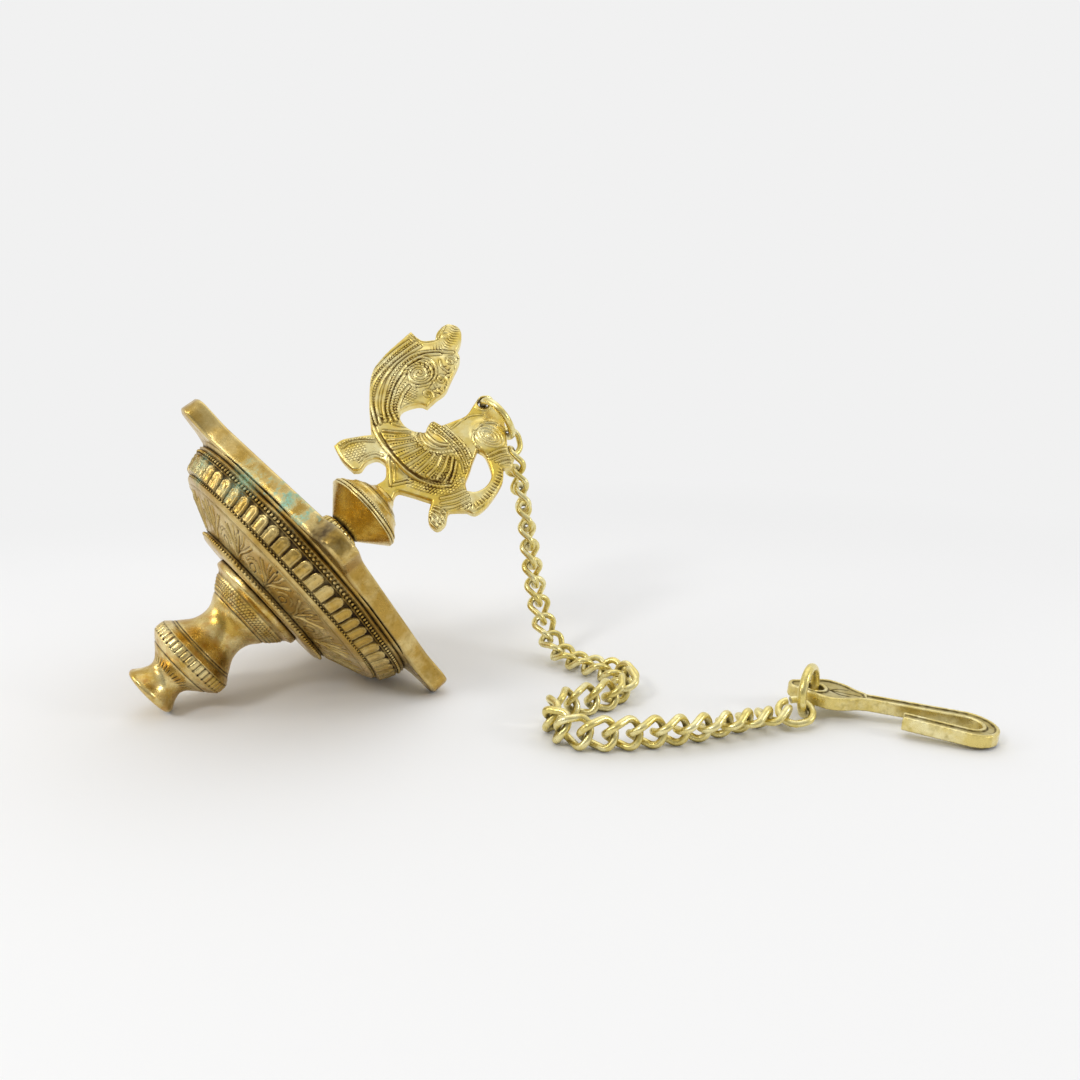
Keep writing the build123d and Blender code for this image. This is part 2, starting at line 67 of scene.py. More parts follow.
@dataclass(frozen=True)
class Placement:
    """Where a sub-assembly's own millimetre frame stands in the row frame."""

    origin: Spot
    across: Spot
    normal: Spot

    def matrix(self) -> Matrix:
        """The frame's transform, from millimetres to metres of the row frame."""
        normal = Vector(self.normal).normalized()
        across = (Vector(self.across) - Vector(self.across).dot(normal) * normal).normalized()
        turn = Matrix((across, normal.cross(across), normal)).transposed().to_4x4()
        return Matrix.Translation(Vector(self.origin) * METRES) @ turn @ Matrix.Scale(METRES, 4)

    def raised(self, height: float) -> "Placement":
        """The same frame, moved along its normal."""
        return Placement(tuple(Vector(self.origin) + Vector(self.normal) * height), self.across, self.normal)


LAMP = Placement(
    origin=(-130.2319, -30.6719, 7.9789),
    across=(0.7155294, -0.3430837, -0.6085320),
    normal=(0.6936571, 0.4521893, 0.5606824),
)
BIRD = Placement(
    origin=(-59.8257, 15.2253, 64.8882),
    across=(0.7155294, -0.3430837, -0.6085320),
    normal=(0.0828107, -0.8232972, 0.5615372),
)
HOOK = Placement(
    origin=(87.6681, -29.8719, 4.5719),
    across=(0.9544980, -0.2881799, -0.0767190),
    normal=(0.0734446, -0.0221742, 0.9970528),
)
BIRD_THICKNESS = 4.4
HOOK_THICKNESS = 4.3
BEAK_COUNT = 5
HALF_BEAK_STEP = math.pi / BEAK_COUNT
# The lamp rests on two beaks, and the bird's plane is turned this far from the line between them
BIRD_TURN = math.radians(137.3)
FIRST_BEAK = math.pi - HALF_BEAK_STEP - BIRD_TURN


# Mesh tools


def placed(name: str, mesh: bmesh.types.BMesh, where: Placement | None, body: str) -> bpy.types.Object:
    """Turns a finished bmesh into a smooth piece that rides on a body.

    Args:
        name: The piece's name.
        mesh: The shape in its own millimetre frame; it is freed here.
        where: The frame's place, or None for a shape that is in the row frame already.
        body: The body the piece moves with.

    Returns:
        The new object, at the origin, with its place in its mesh.
    """
    if where:
        mesh.transform(where.matrix())
    for face in mesh.faces:
        face.smooth = True
    piece = linked(name, mesh)
    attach(piece, body)
    log.info("%s: %d faces on %s", name, len(piece.data.polygons), body)
    return piece


def linked(name: str, mesh: bmesh.types.BMesh) -> bpy.types.Object:
    """Puts a bmesh in the scene as an object at the origin, and frees it."""
    data = bpy.data.meshes.new(name)
    mesh.to_mesh(data)
    mesh.free()
    made = bpy.data.objects.new(name, data)
    bpy.context.scene.collection.objects.link(made)
    return made


def toned(piece: bpy.types.Object, tone: np.ndarray) -> None:
    """Stores how deep or proud each vertex lies, from -1 to 1; the finish paints proud places pale with wear
    and a painted highlight, and deep places dark with grime and painted shade.
    """
    attribute = piece.data.attributes.new("relief", "FLOAT", "POINT")
    attribute.data.foreach_set("value", np.clip(tone, -1, 1).astype(np.float32))


def corners_of(mesh: bmesh.types.BMesh) -> np.ndarray:
    """The mesh's vertices as rows of X, Y and Z."""
    return np.array([vertex.co for vertex in mesh.verts], float).reshape(-1, 3)


def set_corners(mesh: bmesh.types.BMesh, places: np.ndarray) -> None:
    """Moves the mesh's vertices to new places, row by row."""
    for vertex, place in zip(mesh.verts, places):
        vertex.co = place


def sharpen(mesh: bmesh.types.BMesh, angle: float) -> None:
    """Marks edges that turn by more than an angle in degrees as sharp."""
    limit = math.radians(angle)
    for edge in mesh.edges:
        if len(edge.link_faces) == 2 and edge.calc_face_angle(0.0) > limit:
            edge.smooth = False


def spun(mesh: bmesh.types.BMesh, shape: list, steps: int) -> None:
    """Copies a shape round the Z axis, and joins what meets."""
    bmesh.ops.spin(mesh, geom=shape, cent=(0, 0, 0), axis=(0, 0, 1), angle=FULL_TURN, steps=steps,
                   use_merge=True, use_duplicate=True)


def parts_of(mesh: bmesh.types.BMesh) -> list:
    """All vertices, edges and faces of a bmesh."""
    return mesh.verts[:] + mesh.edges[:] + mesh.faces[:]


def divided(start: np.ndarray, end: np.ndarray, step: float, least: int = 1) -> np.ndarray:
    """Even samples of a straight line, without its end."""
    count = max(least, int(np.linalg.norm(end - start) / step))
    return start + (end - start) * np.linspace(0, 1, count, endpoint=False)[:, None]


def smooth_path(points: Sequence[Point], step: float = 0.25) -> np.ndarray:
    """An even path through points, rounded as a hand would draw it.

    Args:
        points: The places that the path goes through.
        step: The distance between its samples in millimetres.

    Returns:
        The samples as rows.
    """
    knots = np.array(points, float)
    if len(knots) == 2:
        return np.vstack([divided(*knots, step, 2), knots[1]])
    ends = np.vstack([2 * knots[0] - knots[1], knots, 2 * knots[-1] - knots[-2]])
    runs = []
    for before, start, end, after in zip(ends, ends[1:], ends[2:], ends[3:]):
        count = max(2, int(np.linalg.norm(end - start) / step))
        t = np.linspace(0, 1, count, endpoint=False)[:, None]
        runs.append(
            start
            + t * (end - before) / 2
            + t**2 * (before - 2.5 * start + 2 * end - after / 2)
            + t**3 * (1.5 * (start - end) + (after - before) / 2)
        )
    return np.vstack([*runs, knots[-1]])


def circle_path(centre: Point, radius: float, count: int) -> np.ndarray:
    """Even places on a circle."""
    turn = np.linspace(0, FULL_TURN, count, endpoint=False)
    return np.c_[np.cos(turn), np.sin(turn)] * radius + np.array(centre)


def coil(centre: Point, radii: Point, closing: Point, turns: np.ndarray, start: float,
         way: int) -> list[Point]:
    """Points on a spiral that closes in on its centre.

    Args:
        centre: Its middle.
        radii: Its first half width and half height.
        closing: How much of each it loses for one radian.
        turns: The radians turned at each point.
        start: The angle that it starts from.
        way: 1 for anticlockwise, -1 for clockwise.

    Returns:
        The points, from the outside in.
    """
    return [
        (centre[0] + (radii[0] - closing[0] * t) * math.cos(start + way * t),
         centre[1] + (radii[1] - closing[1] * t) * math.sin(start + way * t))
        for t in turns
    ]


def cells(value: np.ndarray, pitch: float) -> np.ndarray:
    """The distance to the middle of the nearest of evenly spaced cells."""
    return (value / pitch + 0.5) % 1 * pitch - pitch / 2


def bump(distance: np.ndarray, width: float) -> np.ndarray:
    """A rounded ridge: 1 in its middle and 0 from a half width on."""
    share = np.clip(np.abs(distance) / width, 0, 1)
    return np.cos(share * math.pi / 2) ** 2


class Relief:
    """Chased and cast ornament over a surface that is flattened to two coordinates.

    A tone says how proud (1) or deep (-1) a place looks, whatever its height; the finish paints proud tones
    pale, as wear and a painted highlight, and deep tones dark, as grime and painted shade.
    """

    reach = 3.4
    far = 99.0

    def __init__(self, places: np.ndarray, shift: Point = (0.0, 0.0)) -> None:
        """Starts plain.

        Args:
            places: The surface's points, as rows of two coordinates in millimetres.
            shift: What is added to each drawn point.
        """
        self.places = places
        self.shift = np.array(shift)
        self.height = np.zeros(len(places))
        self.tone = np.zeros(len(places))

    def near(self, points: Sequence[Point]) -> tuple[np.ndarray, np.ndarray, np.ndarray]:
        """Distance to a drawn line, the length along it, and the side, for every point in its reach."""
        path = smooth_path([tuple(np.array(point) + self.shift) for point in points])
        distance = np.full(len(self.places), self.far)
        length, side = np.zeros(len(self.places)), np.full(len(self.places), self.far)
        low, high = path.min(0) - self.reach, path.max(0) + self.reach
        close = np.flatnonzero(((self.places > low) & (self.places < high)).all(1))
        if not len(close):
            return distance, length, side
        steps = np.r_[0, np.cumsum(np.linalg.norm(np.diff(path, axis=0), axis=1))]
        places = self.places[close]
        squares = (places[:, :1] - path[:, 0]) ** 2 + (places[:, 1:] - path[:, 1]) ** 2
        nearest = squares.argmin(1)
        way = np.gradient(path, axis=0)[nearest]
        way /= np.maximum(np.linalg.norm(way, axis=1), 1e-9)[:, None]
        gap = places - path[nearest]
        ahead = (gap * way).sum(1)
        across = way[:, 0] * gap[:, 1] - way[:, 1] * gap[:, 0]
        ended = ((nearest == 0) & (ahead < 0)) | ((nearest == len(path) - 1) & (ahead > 0))
        distance[close] = np.where(ended, np.hypot(ahead, across), np.abs(across))
        length[close] = steps[nearest] + ahead
        side[close] = across
        return distance, length, side

    def raise_by(self, height: np.ndarray, tone: float) -> None:
        """Adds height, and a tone where it is added, strongest at its top."""
        self.height += height
        top = np.abs(height).max() or 1.0
        self.tone += tone * np.abs(height) / top

    def cords(self, width: float, height: float, *lines: Sequence[Point]) -> None:
        """Raised lines, each with a fine groove on both sides."""
        for line in lines:
            distance, _, _ = self.near(line)
            self.raise_by(height * bump(distance, width), 0.55)
            self.raise_by(-0.55 * height * bump(distance - 1.25 * width, 0.5 * width), -0.8)

    def grooves(self, width: float, depth: float, *lines: Sequence[Point]) -> None:
        """Cut lines."""
        for line in lines:
            self.raise_by(-depth * bump(self.near(line)[0], width), -1.0)

    def beads(self, pitch: float, radius: float, height: float, *lines: Sequence[Point]) -> None:
        """Rows of round beads, each in a shallow ring."""
        for line in lines:
            distance, along, side = self.near(line)
            reach = np.hypot(cells(along, pitch), side)
            dome = np.sqrt(np.clip(1 - (reach / radius) ** 2, 0, 1)) * (distance < 2 * radius)
            self.raise_by(height * dome, 0.6)
            ring = bump(reach - 1.15 * radius, 0.35 * radius) * (distance < 1.6 * radius)
            self.raise_by(-0.35 * height * ring, -0.7)

    def barbs(self, pitch: float, reach: float, height: float, slant: float, *lines: Sequence[Point]) -> None:
        """Short feather barbs across lines.

        Args:
            pitch: The spacing of the barbs.
            reach: How far they go to each side.
            height: How high they stand.
            slant: How far a barb runs along its line for each millimetre to its side.
            lines: The lines, as drawn points.
        """
        for line in lines:
            distance, along, side = self.near(line)
            window = bump(distance, reach) ** 0.5
            wave = np.cos(FULL_TURN * (along + slant * np.abs(side)) / pitch)
            self.height += height * window * wave * 0.5
            self.tone += np.where(wave < 0, 0.85 * wave, 0.4 * wave) * window

    def oval(self, centre: Point, radii: Point, turn: float) -> tuple[np.ndarray, np.ndarray, np.ndarray]:
        """How far each place lies along and across a turned oval, and outwards as a share of it."""
        angle = math.radians(turn)
        gap = self.places - np.array(centre) - self.shift
        along = gap[:, 0] * math.cos(angle) + gap[:, 1] * math.sin(angle)
        across = gap[:, 1] * math.cos(angle) - gap[:, 0] * math.sin(angle)
        return along, across, np.hypot(along / radii[0], across / radii[1])

    def ring(self, centre: Point, radii: Point, turn: float, width: float, height: float) -> None:
        """A raised oval line, turned by an angle in degrees."""
        distance = (self.oval(centre, radii, turn)[2] - 1) * min(radii)
        self.raise_by(height * bump(distance, width), 0.5)

    def dome(self, centre: Point, radii: Point, turn: float, height: float) -> None:
        """A soft oval swelling."""
        reach = np.clip(1 - self.oval(centre, radii, turn)[2] ** 2, 0, 1)
        self.height += height * np.sqrt(reach) * np.minimum(1, 3 * reach)

    def grain(self, centre: Point, radii: Point, turn: float, pitch: float, height: float) -> None:
        """Punched dots over an oval patch, in staggered rows."""
        along, across, out = self.oval(centre, radii, turn)
        inside = np.clip(6 * (1 - out**2), 0, 1)
        stagger = np.round(across / pitch) % 2 * pitch / 2
        reach = np.hypot(cells(along + stagger, pitch), cells(across, pitch))
        dot = np.clip(1 - (reach / (0.48 * pitch)) ** 2, 0, 1)
        self.height += height * dot * inside
        self.tone += (0.9 * dot - 0.55) * inside


# Finishes


def linear(colour: str) -> tuple[float, float, float, float]:
    """A six-digit sRGB hex colour as linear red, green, blue and full alpha."""
    parts = [int(colour[i:i + 2], 16) / 255 for i in (1, 3, 5)]
    straight = [p / 12.92 if p <= 0.04045 else ((p + 0.055) / 1.055) ** 2.4 for p in parts]
    return (*straight, 1.0)


def emptied(owner: bpy.types.Material | bpy.types.World) -> Tree:
    """Gives a material or world an empty node tree."""
    owner.use_nodes = True
    owner.node_tree.nodes.clear()
    return owner.node_tree


def add_node(tree: Tree, kind: str, settings: dict | None = None) -> bpy.types.Node:
    """Adds one node.

    Args:
        tree: The node tree.
        kind: The node's type name.
        settings: Properties by name, and the value of an input, or the socket that feeds it, by the
            input's name or number.

    Returns:
        The new node.
    """
    node = tree.nodes.new(kind)
    for key, value in (settings or {}).items():
        if isinstance(key, str) and hasattr(node, key):
            setattr(node, key, value)
        elif isinstance(value, Socket):
            tree.links.new(value, node.inputs[key])
        else:
            node.inputs[key].default_value = value
    return node


def maths(tree: Tree, operation: str, *terms: Socket | float, clamp: bool = False) -> Socket:
    """One step of arithmetic on sockets and numbers."""
    settings = {"operation": operation, "use_clamp": clamp, **dict(enumerate(terms))}
    return add_node(tree, "ShaderNodeMath", settings).outputs[0]


def ranged(tree: Tree, value: Socket, low: float, high: float, first: float = 0.0, last: float = 1.0,
           smooth: bool = False) -> Socket:
    """Maps one range to another and holds its ends."""
    settings = {
        "clamp": True, "interpolation_type": "SMOOTHSTEP" if smooth else "LINEAR", "Value": value,
        "From Min": low, "From Max": high, "To Min": first, "To Max": last,
    }
    return add_node(tree, "ShaderNodeMapRange", settings).outputs["Result"]


def layered(tree: Tree, factor: Socket, below: Socket, above: Socket | str) -> Socket:
    """Lays a colour over another by a factor."""
    top = linear(above) if isinstance(above, str) else above
    # Inputs 6 and 7 and output 2 are the mix node's colour sockets
    return add_node(tree, "ShaderNodeMix", {"data_type": "RGBA", 0: factor, 6: below, 7: top}).outputs[2]


def mixed(tree: Tree, factor: Socket, first: bpy.types.Node, second: bpy.types.Node) -> Socket:
    """Mixes two shaders by a factor."""
    settings = {0: factor, 1: first.outputs[0], 2: second.outputs[0]}
    return add_node(tree, "ShaderNodeMixShader", settings).outputs[0]


@dataclass(frozen=True)
class Patch:
    """A discoloured patch, at a place in the row frame in millimetres, with a ragged edge."""

    centre: Spot
    radius: float
    strength: float

    def mask(self, tree: Tree, place: Socket, ragged: Socket) -> Socket:
        """How much of the patch lies at each point.

        Args:
            tree: The node tree.
            place: Object coordinates.
            ragged: A noise that breaks up the patch's edge.

        Returns:
            A socket from 0 to 1.
        """
        centre = tuple(value * METRES for value in self.centre)
        gap = add_node(tree, "ShaderNodeVectorMath", {"operation": "DISTANCE", 0: place, 1: centre})
        share = maths(tree, "DIVIDE", gap.outputs["Value"], self.radius * METRES)
        edge = maths(tree, "MULTIPLY_ADD", ragged, 2.2, -1.25)
        total = maths(tree, "ADD", maths(tree, "SUBTRACT", 1.0, share), edge)
        return maths(tree, "MULTIPLY", total, 1.8 * self.strength, clamp=True)


@dataclass(frozen=True)
class Brass:
    """Cast or turned brass, handled for years.

    Its metal is pale on worn high places, with a painted highlight on them, warm in the open, and dark in its
    recesses with brown grime and painted shade.
    """

    name: str
    slot: str
    body: str
    worn_and_highlight: str
    # recess is the colour of brown grime and painted shade in deep places and crevices
    recess: str
    stain: str
    roughness: float
    patch_mm: float
    stain_share: float
    grain_depth: float
    worn_share: float = 0.75
    recess_share: float = 0.9
    grain_mm: float = 0.45
    cavity_mm: float = 1.6
    greens: tuple[Patch, ...] = ()
    browns: tuple[Patch, ...] = ()
    grime_brown: str = "#5C4A2A"
    verdigris_pale: str = "#B4DEC6"
    verdigris_deep: str = "#86B8A4"

    def material(self) -> bpy.types.Material:
        """Builds the finish.

        Returns:
            The material, made of nodes on object coordinates and the relief attribute.
        """
        made = bpy.data.materials.new(self.name)
        tree = emptied(made)
        spread, mix, sums = partial(ranged, tree), partial(layered, tree), partial(maths, tree)
        place = add_node(tree, "ShaderNodeTexCoord").outputs["Object"]

        def noise(size_mm: float, detail: float, roughness: float) -> Socket:
            """A noise whose blotches are about a size in millimetres."""
            settings = {"Vector": place, "Scale": 1 / (size_mm * METRES), "Detail": detail,
                        "Roughness": roughness}
            return add_node(tree, "ShaderNodeTexNoise", settings).outputs["Fac"]

        broad = noise(self.patch_mm, 4.0, 0.6)
        middle = noise(self.patch_mm * 0.3, 5.0, 0.62)
        fine = noise(self.grain_mm, 3.0, 0.6)
        relief = add_node(tree, "ShaderNodeAttribute", {"attribute_name": "relief"}).outputs["Fac"]
        around = {"samples": 6, "Distance": self.cavity_mm * METRES}
        cavity = add_node(tree, "ShaderNodeAmbientOcclusion", around).outputs["AO"]
        body = add_node(tree, "ShaderNodeRGB").outputs[0]
        body.default_value = linear(self.body)

        # Metal: worn in blotches, pale on high places from wear and a painted highlight, stained between them
        colour = mix(spread(broad, 0.42, 0.66, 0.0, self.worn_share), body, self.worn_and_highlight)
        colour = mix(spread(middle, 0.52, 0.72, 0.0, self.stain_share), colour, self.stain)
        colour = mix(spread(relief, 0.1, 0.8, 0.0, 0.55), colour, self.worn_and_highlight)
        # Brown grime and painted shade in deep places and in crevices, which the ambient occlusion finds
        deep = spread(relief, -0.1, -0.7, 0.0, self.recess_share)
        occlusion_shade = spread(cavity, 0.92, 0.45, 0.0, self.recess_share)
        hidden = sums("MAXIMUM", deep, occlusion_shade)
        grime_and_shade = sums("MULTIPLY", hidden, spread(middle, 0.3, 0.6, 0.72, 1.15), clamp=True)
        colour = mix(grime_and_shade, colour, self.recess)
        # Brown and green patches
        dull = grime_and_shade
        for patch in self.browns:
            colour = mix(patch.mask(tree, place, middle), colour, self.grime_brown)
        for patch in self.greens:
            mask = patch.mask(tree, place, middle)
            tint = mix(spread(fine, 0.4, 0.6), body, self.verdigris_pale)
            tint = mix(spread(broad, 0.4, 0.6, 0.15, 0.8), tint, self.verdigris_deep)
            colour = mix(mask, colour, tint)
            dull = sums("MAXIMUM", dull, mask)

        polish = spread(middle, 0.35, 0.7, self.roughness - 0.07, self.roughness + 0.12)
        grain = sums("MULTIPLY_ADD", middle, 0.5, fine)
        bumped = {"Strength": 0.7, "Distance": self.grain_depth * METRES, "Height": grain}
        shader = add_node(tree, "ShaderNodeBsdfPrincipled", {
            "Base Color": colour,
            "Roughness": sums("MULTIPLY_ADD", dull, 0.3, polish, clamp=True),
            "Metallic": spread(dull, 0.0, 1.0, 1.0, 0.7),
            "Normal": add_node(tree, "ShaderNodeBump", bumped).outputs[0],
        })
        add_node(tree, "ShaderNodeOutputMaterial", {"Surface": shader.outputs[0]})
        return made


class Finish(Enum):
    """The finishes of the lamp's pieces."""

    # Old turned and cast brass of the bowl: brownish, pale on edges from wear and a painted highlight, green
    # at one side
    BOWL = Brass("aged_bowl_brass", "aged_brass", body="#BC9A4C", worn_and_highlight="#F4E4A8", recess="#2A1A08",
                 stain="#94742E", roughness=0.3, patch_mm=11.0, worn_share=0.55, stain_share=0.5,
                 grain_mm=0.5, grain_depth=0.06,
                 greens=(Patch((-74.6, -49.2, 76.6), 11.0, 1.5), Patch((-82.4, -45.2, 84.4), 11.0, 1.4),
                         Patch((-92.3, -36.3, 78.0), 9.0, 0.6), Patch((-108.8, -23.9, 79.5), 8.0, 0.35)),
                 browns=(Patch((-63.5, -53.2, 65.4), 11.0, 0.6),))
    # The drop below it, with orange glints where the lacquer is worn
    DROP = Brass("aged_drop_brass", "aged_brass", body="#C4A24E", worn_and_highlight="#F9E9AE", recess="#281806",
                 stain="#B5722A", roughness=0.27, patch_mm=8.0, stain_share=0.55, grain_depth=0.035)
    # The knob and collar, a little brighter
    KNOB = Brass("aged_knob_brass", "aged_brass", body="#D6B862", worn_and_highlight="#FCF0B8", recess="#3A280E",
                 stain="#AA8640", roughness=0.25, patch_mm=7.0, stain_share=0.5, grain_depth=0.03)
    # The peacock: bright yellow cast brass, soft from handling
    BIRD = Brass("bright_cast_brass", "bright_brass", body="#E8CB60", worn_and_highlight="#FFF8C6", recess="#604410",
                 stain="#C4952A", roughness=0.34, patch_mm=12.0, stain_share=0.35, recess_share=0.95,
                 grain_mm=0.4, grain_depth=0.04, cavity_mm=1.4)
    # Chain, rings and hook: satin brass, a little green
    CHAIN = Brass("satin_chain_brass", "satin_brass", body="#E2D080", worn_and_highlight="#FCF4C2", recess="#5C4E20",
                  stain="#A0903F", roughness=0.3, patch_mm=6.0, stain_share=0.4, recess_share=0.75,
                  grain_depth=0.025, cavity_mm=1.8)
    HOOK = Brass("satin_hook_brass", "satin_brass", body="#E0CC7E", worn_and_highlight="#FBF2C2", recess="#5E4F24",
                 stain="#9A8844", roughness=0.3, patch_mm=7.0, stain_share=0.45, grain_depth=0.03)


MATERIALS = {finish: finish.value.material() for finish in Finish}


def dress(piece: bpy.types.Object, finish: Finish) -> None:
    """Gives a new piece its finish."""
    piece.data.materials.clear()
    piece.data.materials.append(MATERIALS[finish])


# Turned pieces


@dataclass(frozen=True)
class Row:
    """One ring of a turned shape: its radius, its height, and what it follows."""

    radius: float
    height: float
    kind: str = "round"
    share: float = 0.0


def rings(*corners: Point) -> list[Row]:
    """Rows through a profile's corners, given as radius and height."""
    return [Row(*corner) for corner in corners]


def run(start: Point, end: Point, count: int, kind: str = "round") -> list[Row]:
    """Evenly spaced rows on a straight line, without the last."""
    return [
        Row(start[0] + (end[0] - start[0]) * i / count, start[1] + (end[1] - start[1]) * i / count, kind)
        for i in range(count)
    ]


def curve(points: Sequence[Point], step: float) -> list[Row]:
    """Rows on a smooth line through points, without the last."""
    return [Row(max(0.0, float(r)), float(h)) for r, h in smooth_path(points, step)[:-1]]


@dataclass
class Turned:
    """A shape spun about its own axis, kept with each vertex's row and angle."""

    rows: list[Row]
    steps: int
    closed: bool = False
    mesh: bmesh.types.BMesh = field(init=False)
    row: np.ndarray = field(init=False)
    angle: np.ndarray = field(init=False)
    sectors: tuple[int, ...] = (20, 16, 12, 9, 8, 1)

    def __post_init__(self) -> None:
        """Spins one sector, copies it round, and finds each vertex's row."""
        mesh = bmesh.new()
        line = [mesh.verts.new((row.radius, 0, row.height)) for row in self.rows]
        pairs = list(zip(line, line[1:])) + ([(line[-1], line[0])] if self.closed else [])
        edges = [mesh.edges.new(pair) for pair in pairs]
        sectors = next(count for count in self.sectors if self.steps % count == 0)
        bmesh.ops.spin(mesh, geom=line + edges, cent=(0, 0, 0), axis=(0, 0, 1),
                       angle=FULL_TURN / sectors, steps=self.steps // sectors)
        spun(mesh, parts_of(mesh), sectors)
        bmesh.ops.remove_doubles(mesh, verts=mesh.verts, dist=2e-3)
        bmesh.ops.recalc_face_normals(mesh, faces=mesh.faces)
        self.mesh = mesh
        places = corners_of(mesh)
        radius = np.hypot(places[:, 0], places[:, 1])
        own = np.array([(row.radius, row.height) for row in self.rows])
        gaps = (radius[:, None] - own[:, 0]) ** 2 + (places[:, 2][:, None] - own[:, 1]) ** 2
        self.row = gaps.argmin(1)
        self.angle = np.arctan2(places[:, 1], places[:, 0]) % FULL_TURN

    def of(self, attribute: str) -> np.ndarray:
        """One attribute of each vertex's row."""
        return np.array([getattr(row, attribute) for row in self.rows])[self.row]

    def finish(self, name: str, node: str, look: Finish, radius: np.ndarray, height: np.ndarray,
               tone: np.ndarray, sharp: float = 180) -> None:
        """Shapes the vertices, and places the piece on the lamp, dressed, for its CAD node.

        Args:
            name: The piece's name.
            node: The CAD node that it stands for.
            look: Its finish.
            radius: Each vertex's radius.
            height: Each vertex's height.
            tone: How proud or deep each vertex looks.
            sharp: The turn in degrees from which an edge is sharp.
        """
        set_corners(self.mesh, np.c_[radius * np.cos(self.angle), radius * np.sin(self.angle), height])
        sharpen(self.mesh, sharp)
        made = placed(name, self.mesh, LAMP, "lamp")
        toned(made, tone)
        dress(made, look)
        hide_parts(node)


def bead_ring(name: str, radius: float, height: float, count: int, size: float, finish: Finish,
              profile: Field | None = None) -> None:
    """Makes a ring of small beads round the lamp's axis.

    Args:
        name: The piece's name.
        radius: The ring's radius.
        height: Its height on the axis.
        count: How many beads.
        size: A bead's radius.
        finish: Its finish.
        profile: How the radius swells with the angle, or None for a plain circle.
    """
    mesh = bmesh.new()
    spot = Matrix.Translation((radius, 0, height))
    bmesh.ops.create_uvsphere(mesh, u_segments=8, v_segments=6, radius=size, matrix=spot)
    spun(mesh, parts_of(mesh), count)
    bmesh.ops.remove_doubles(mesh, verts=mesh.verts, dist=1e-4)
    if profile:
        places = corners_of(mesh)
        pitch = FULL_TURN / count
        middle = np.round(np.arctan2(places[:, 1], places[:, 0]) / pitch) * pitch
        shift = radius * (profile(middle % FULL_TURN) - 1)
        places[:, 0] += shift * np.cos(middle)
        places[:, 1] += shift * np.sin(middle)
        set_corners(mesh, places)
    dress(placed(name, mesh, LAMP, "lamp"), finish)


def beaked_outline() -> tuple[np.ndarray, np.ndarray]:
    """The beaked band's outline as angles and radii, in order of angle."""
    # One beak's corners: distance out, distance across, and rounding
    beak = ((55.5, -8.2, 9.0), (65.0, -3.9, 4.0), (65.0, 3.9, 4.0), (55.5, 8.2, 9.0))
    corners, rounds = [], []
    for number in range(BEAK_COUNT):
        angle = FIRST_BEAK + number * 2 * HALF_BEAK_STEP
        along = np.array((math.cos(angle), math.sin(angle)))
        across = np.array((-along[1], along[0]))
        for reach, half, radius in beak:
            corners.append(along * reach + across * half)
            rounds.append(radius)
    outline = []
    for index, (corner, radius) in enumerate(zip(corners, rounds)):
        before = corners[index - 1] - corner
        after = corners[(index + 1) % len(corners)] - corner
        before /= np.linalg.norm(before)
        after /= np.linalg.norm(after)
        half = math.acos(float(np.clip(before @ after, -1, 1))) / 2
        middle = (before + after) / np.linalg.norm(before + after)
        centre = corner + middle * radius / math.sin(half)
        first = corner + before * radius / math.tan(half) - centre
        last = corner + after * radius / math.tan(half) - centre
        for share in np.linspace(0, 1, 9):
            way = first * (1 - share) + last * share
            outline.append(centre + way / np.linalg.norm(way) * radius)
    sides = zip(outline, outline[1:] + outline[:1])
    dense = np.vstack([divided(start, end, 0.3) for start, end in sides])
    angles = np.arctan2(dense[:, 1], dense[:, 0]) % FULL_TURN
    order = angles.argsort()
    return angles[order], np.hypot(dense[:, 0], dense[:, 1])[order]


def five_sided(angle: np.ndarray) -> np.ndarray:
    """How far the band with five rounded corners reaches, as a share of its sides' distance."""
    side = np.abs(cells(angle - FIRST_BEAK, 2 * HALF_BEAK_STEP))
    # A corner is an arc of this radius about this place; the sides touch it
    rounding = 0.8
    centre = (1 - rounding) / math.cos(HALF_BEAK_STEP)
    arc = centre * np.cos(side) + np.sqrt(np.maximum(rounding**2 - (centre * np.sin(side)) ** 2, 0))
    rise, reach = rounding * math.sin(HALF_BEAK_STEP), rounding * math.cos(HALF_BEAK_STEP)
    return np.where(side < math.atan2(rise, centre + reach), arc, 1 / np.cos(HALF_BEAK_STEP - side))


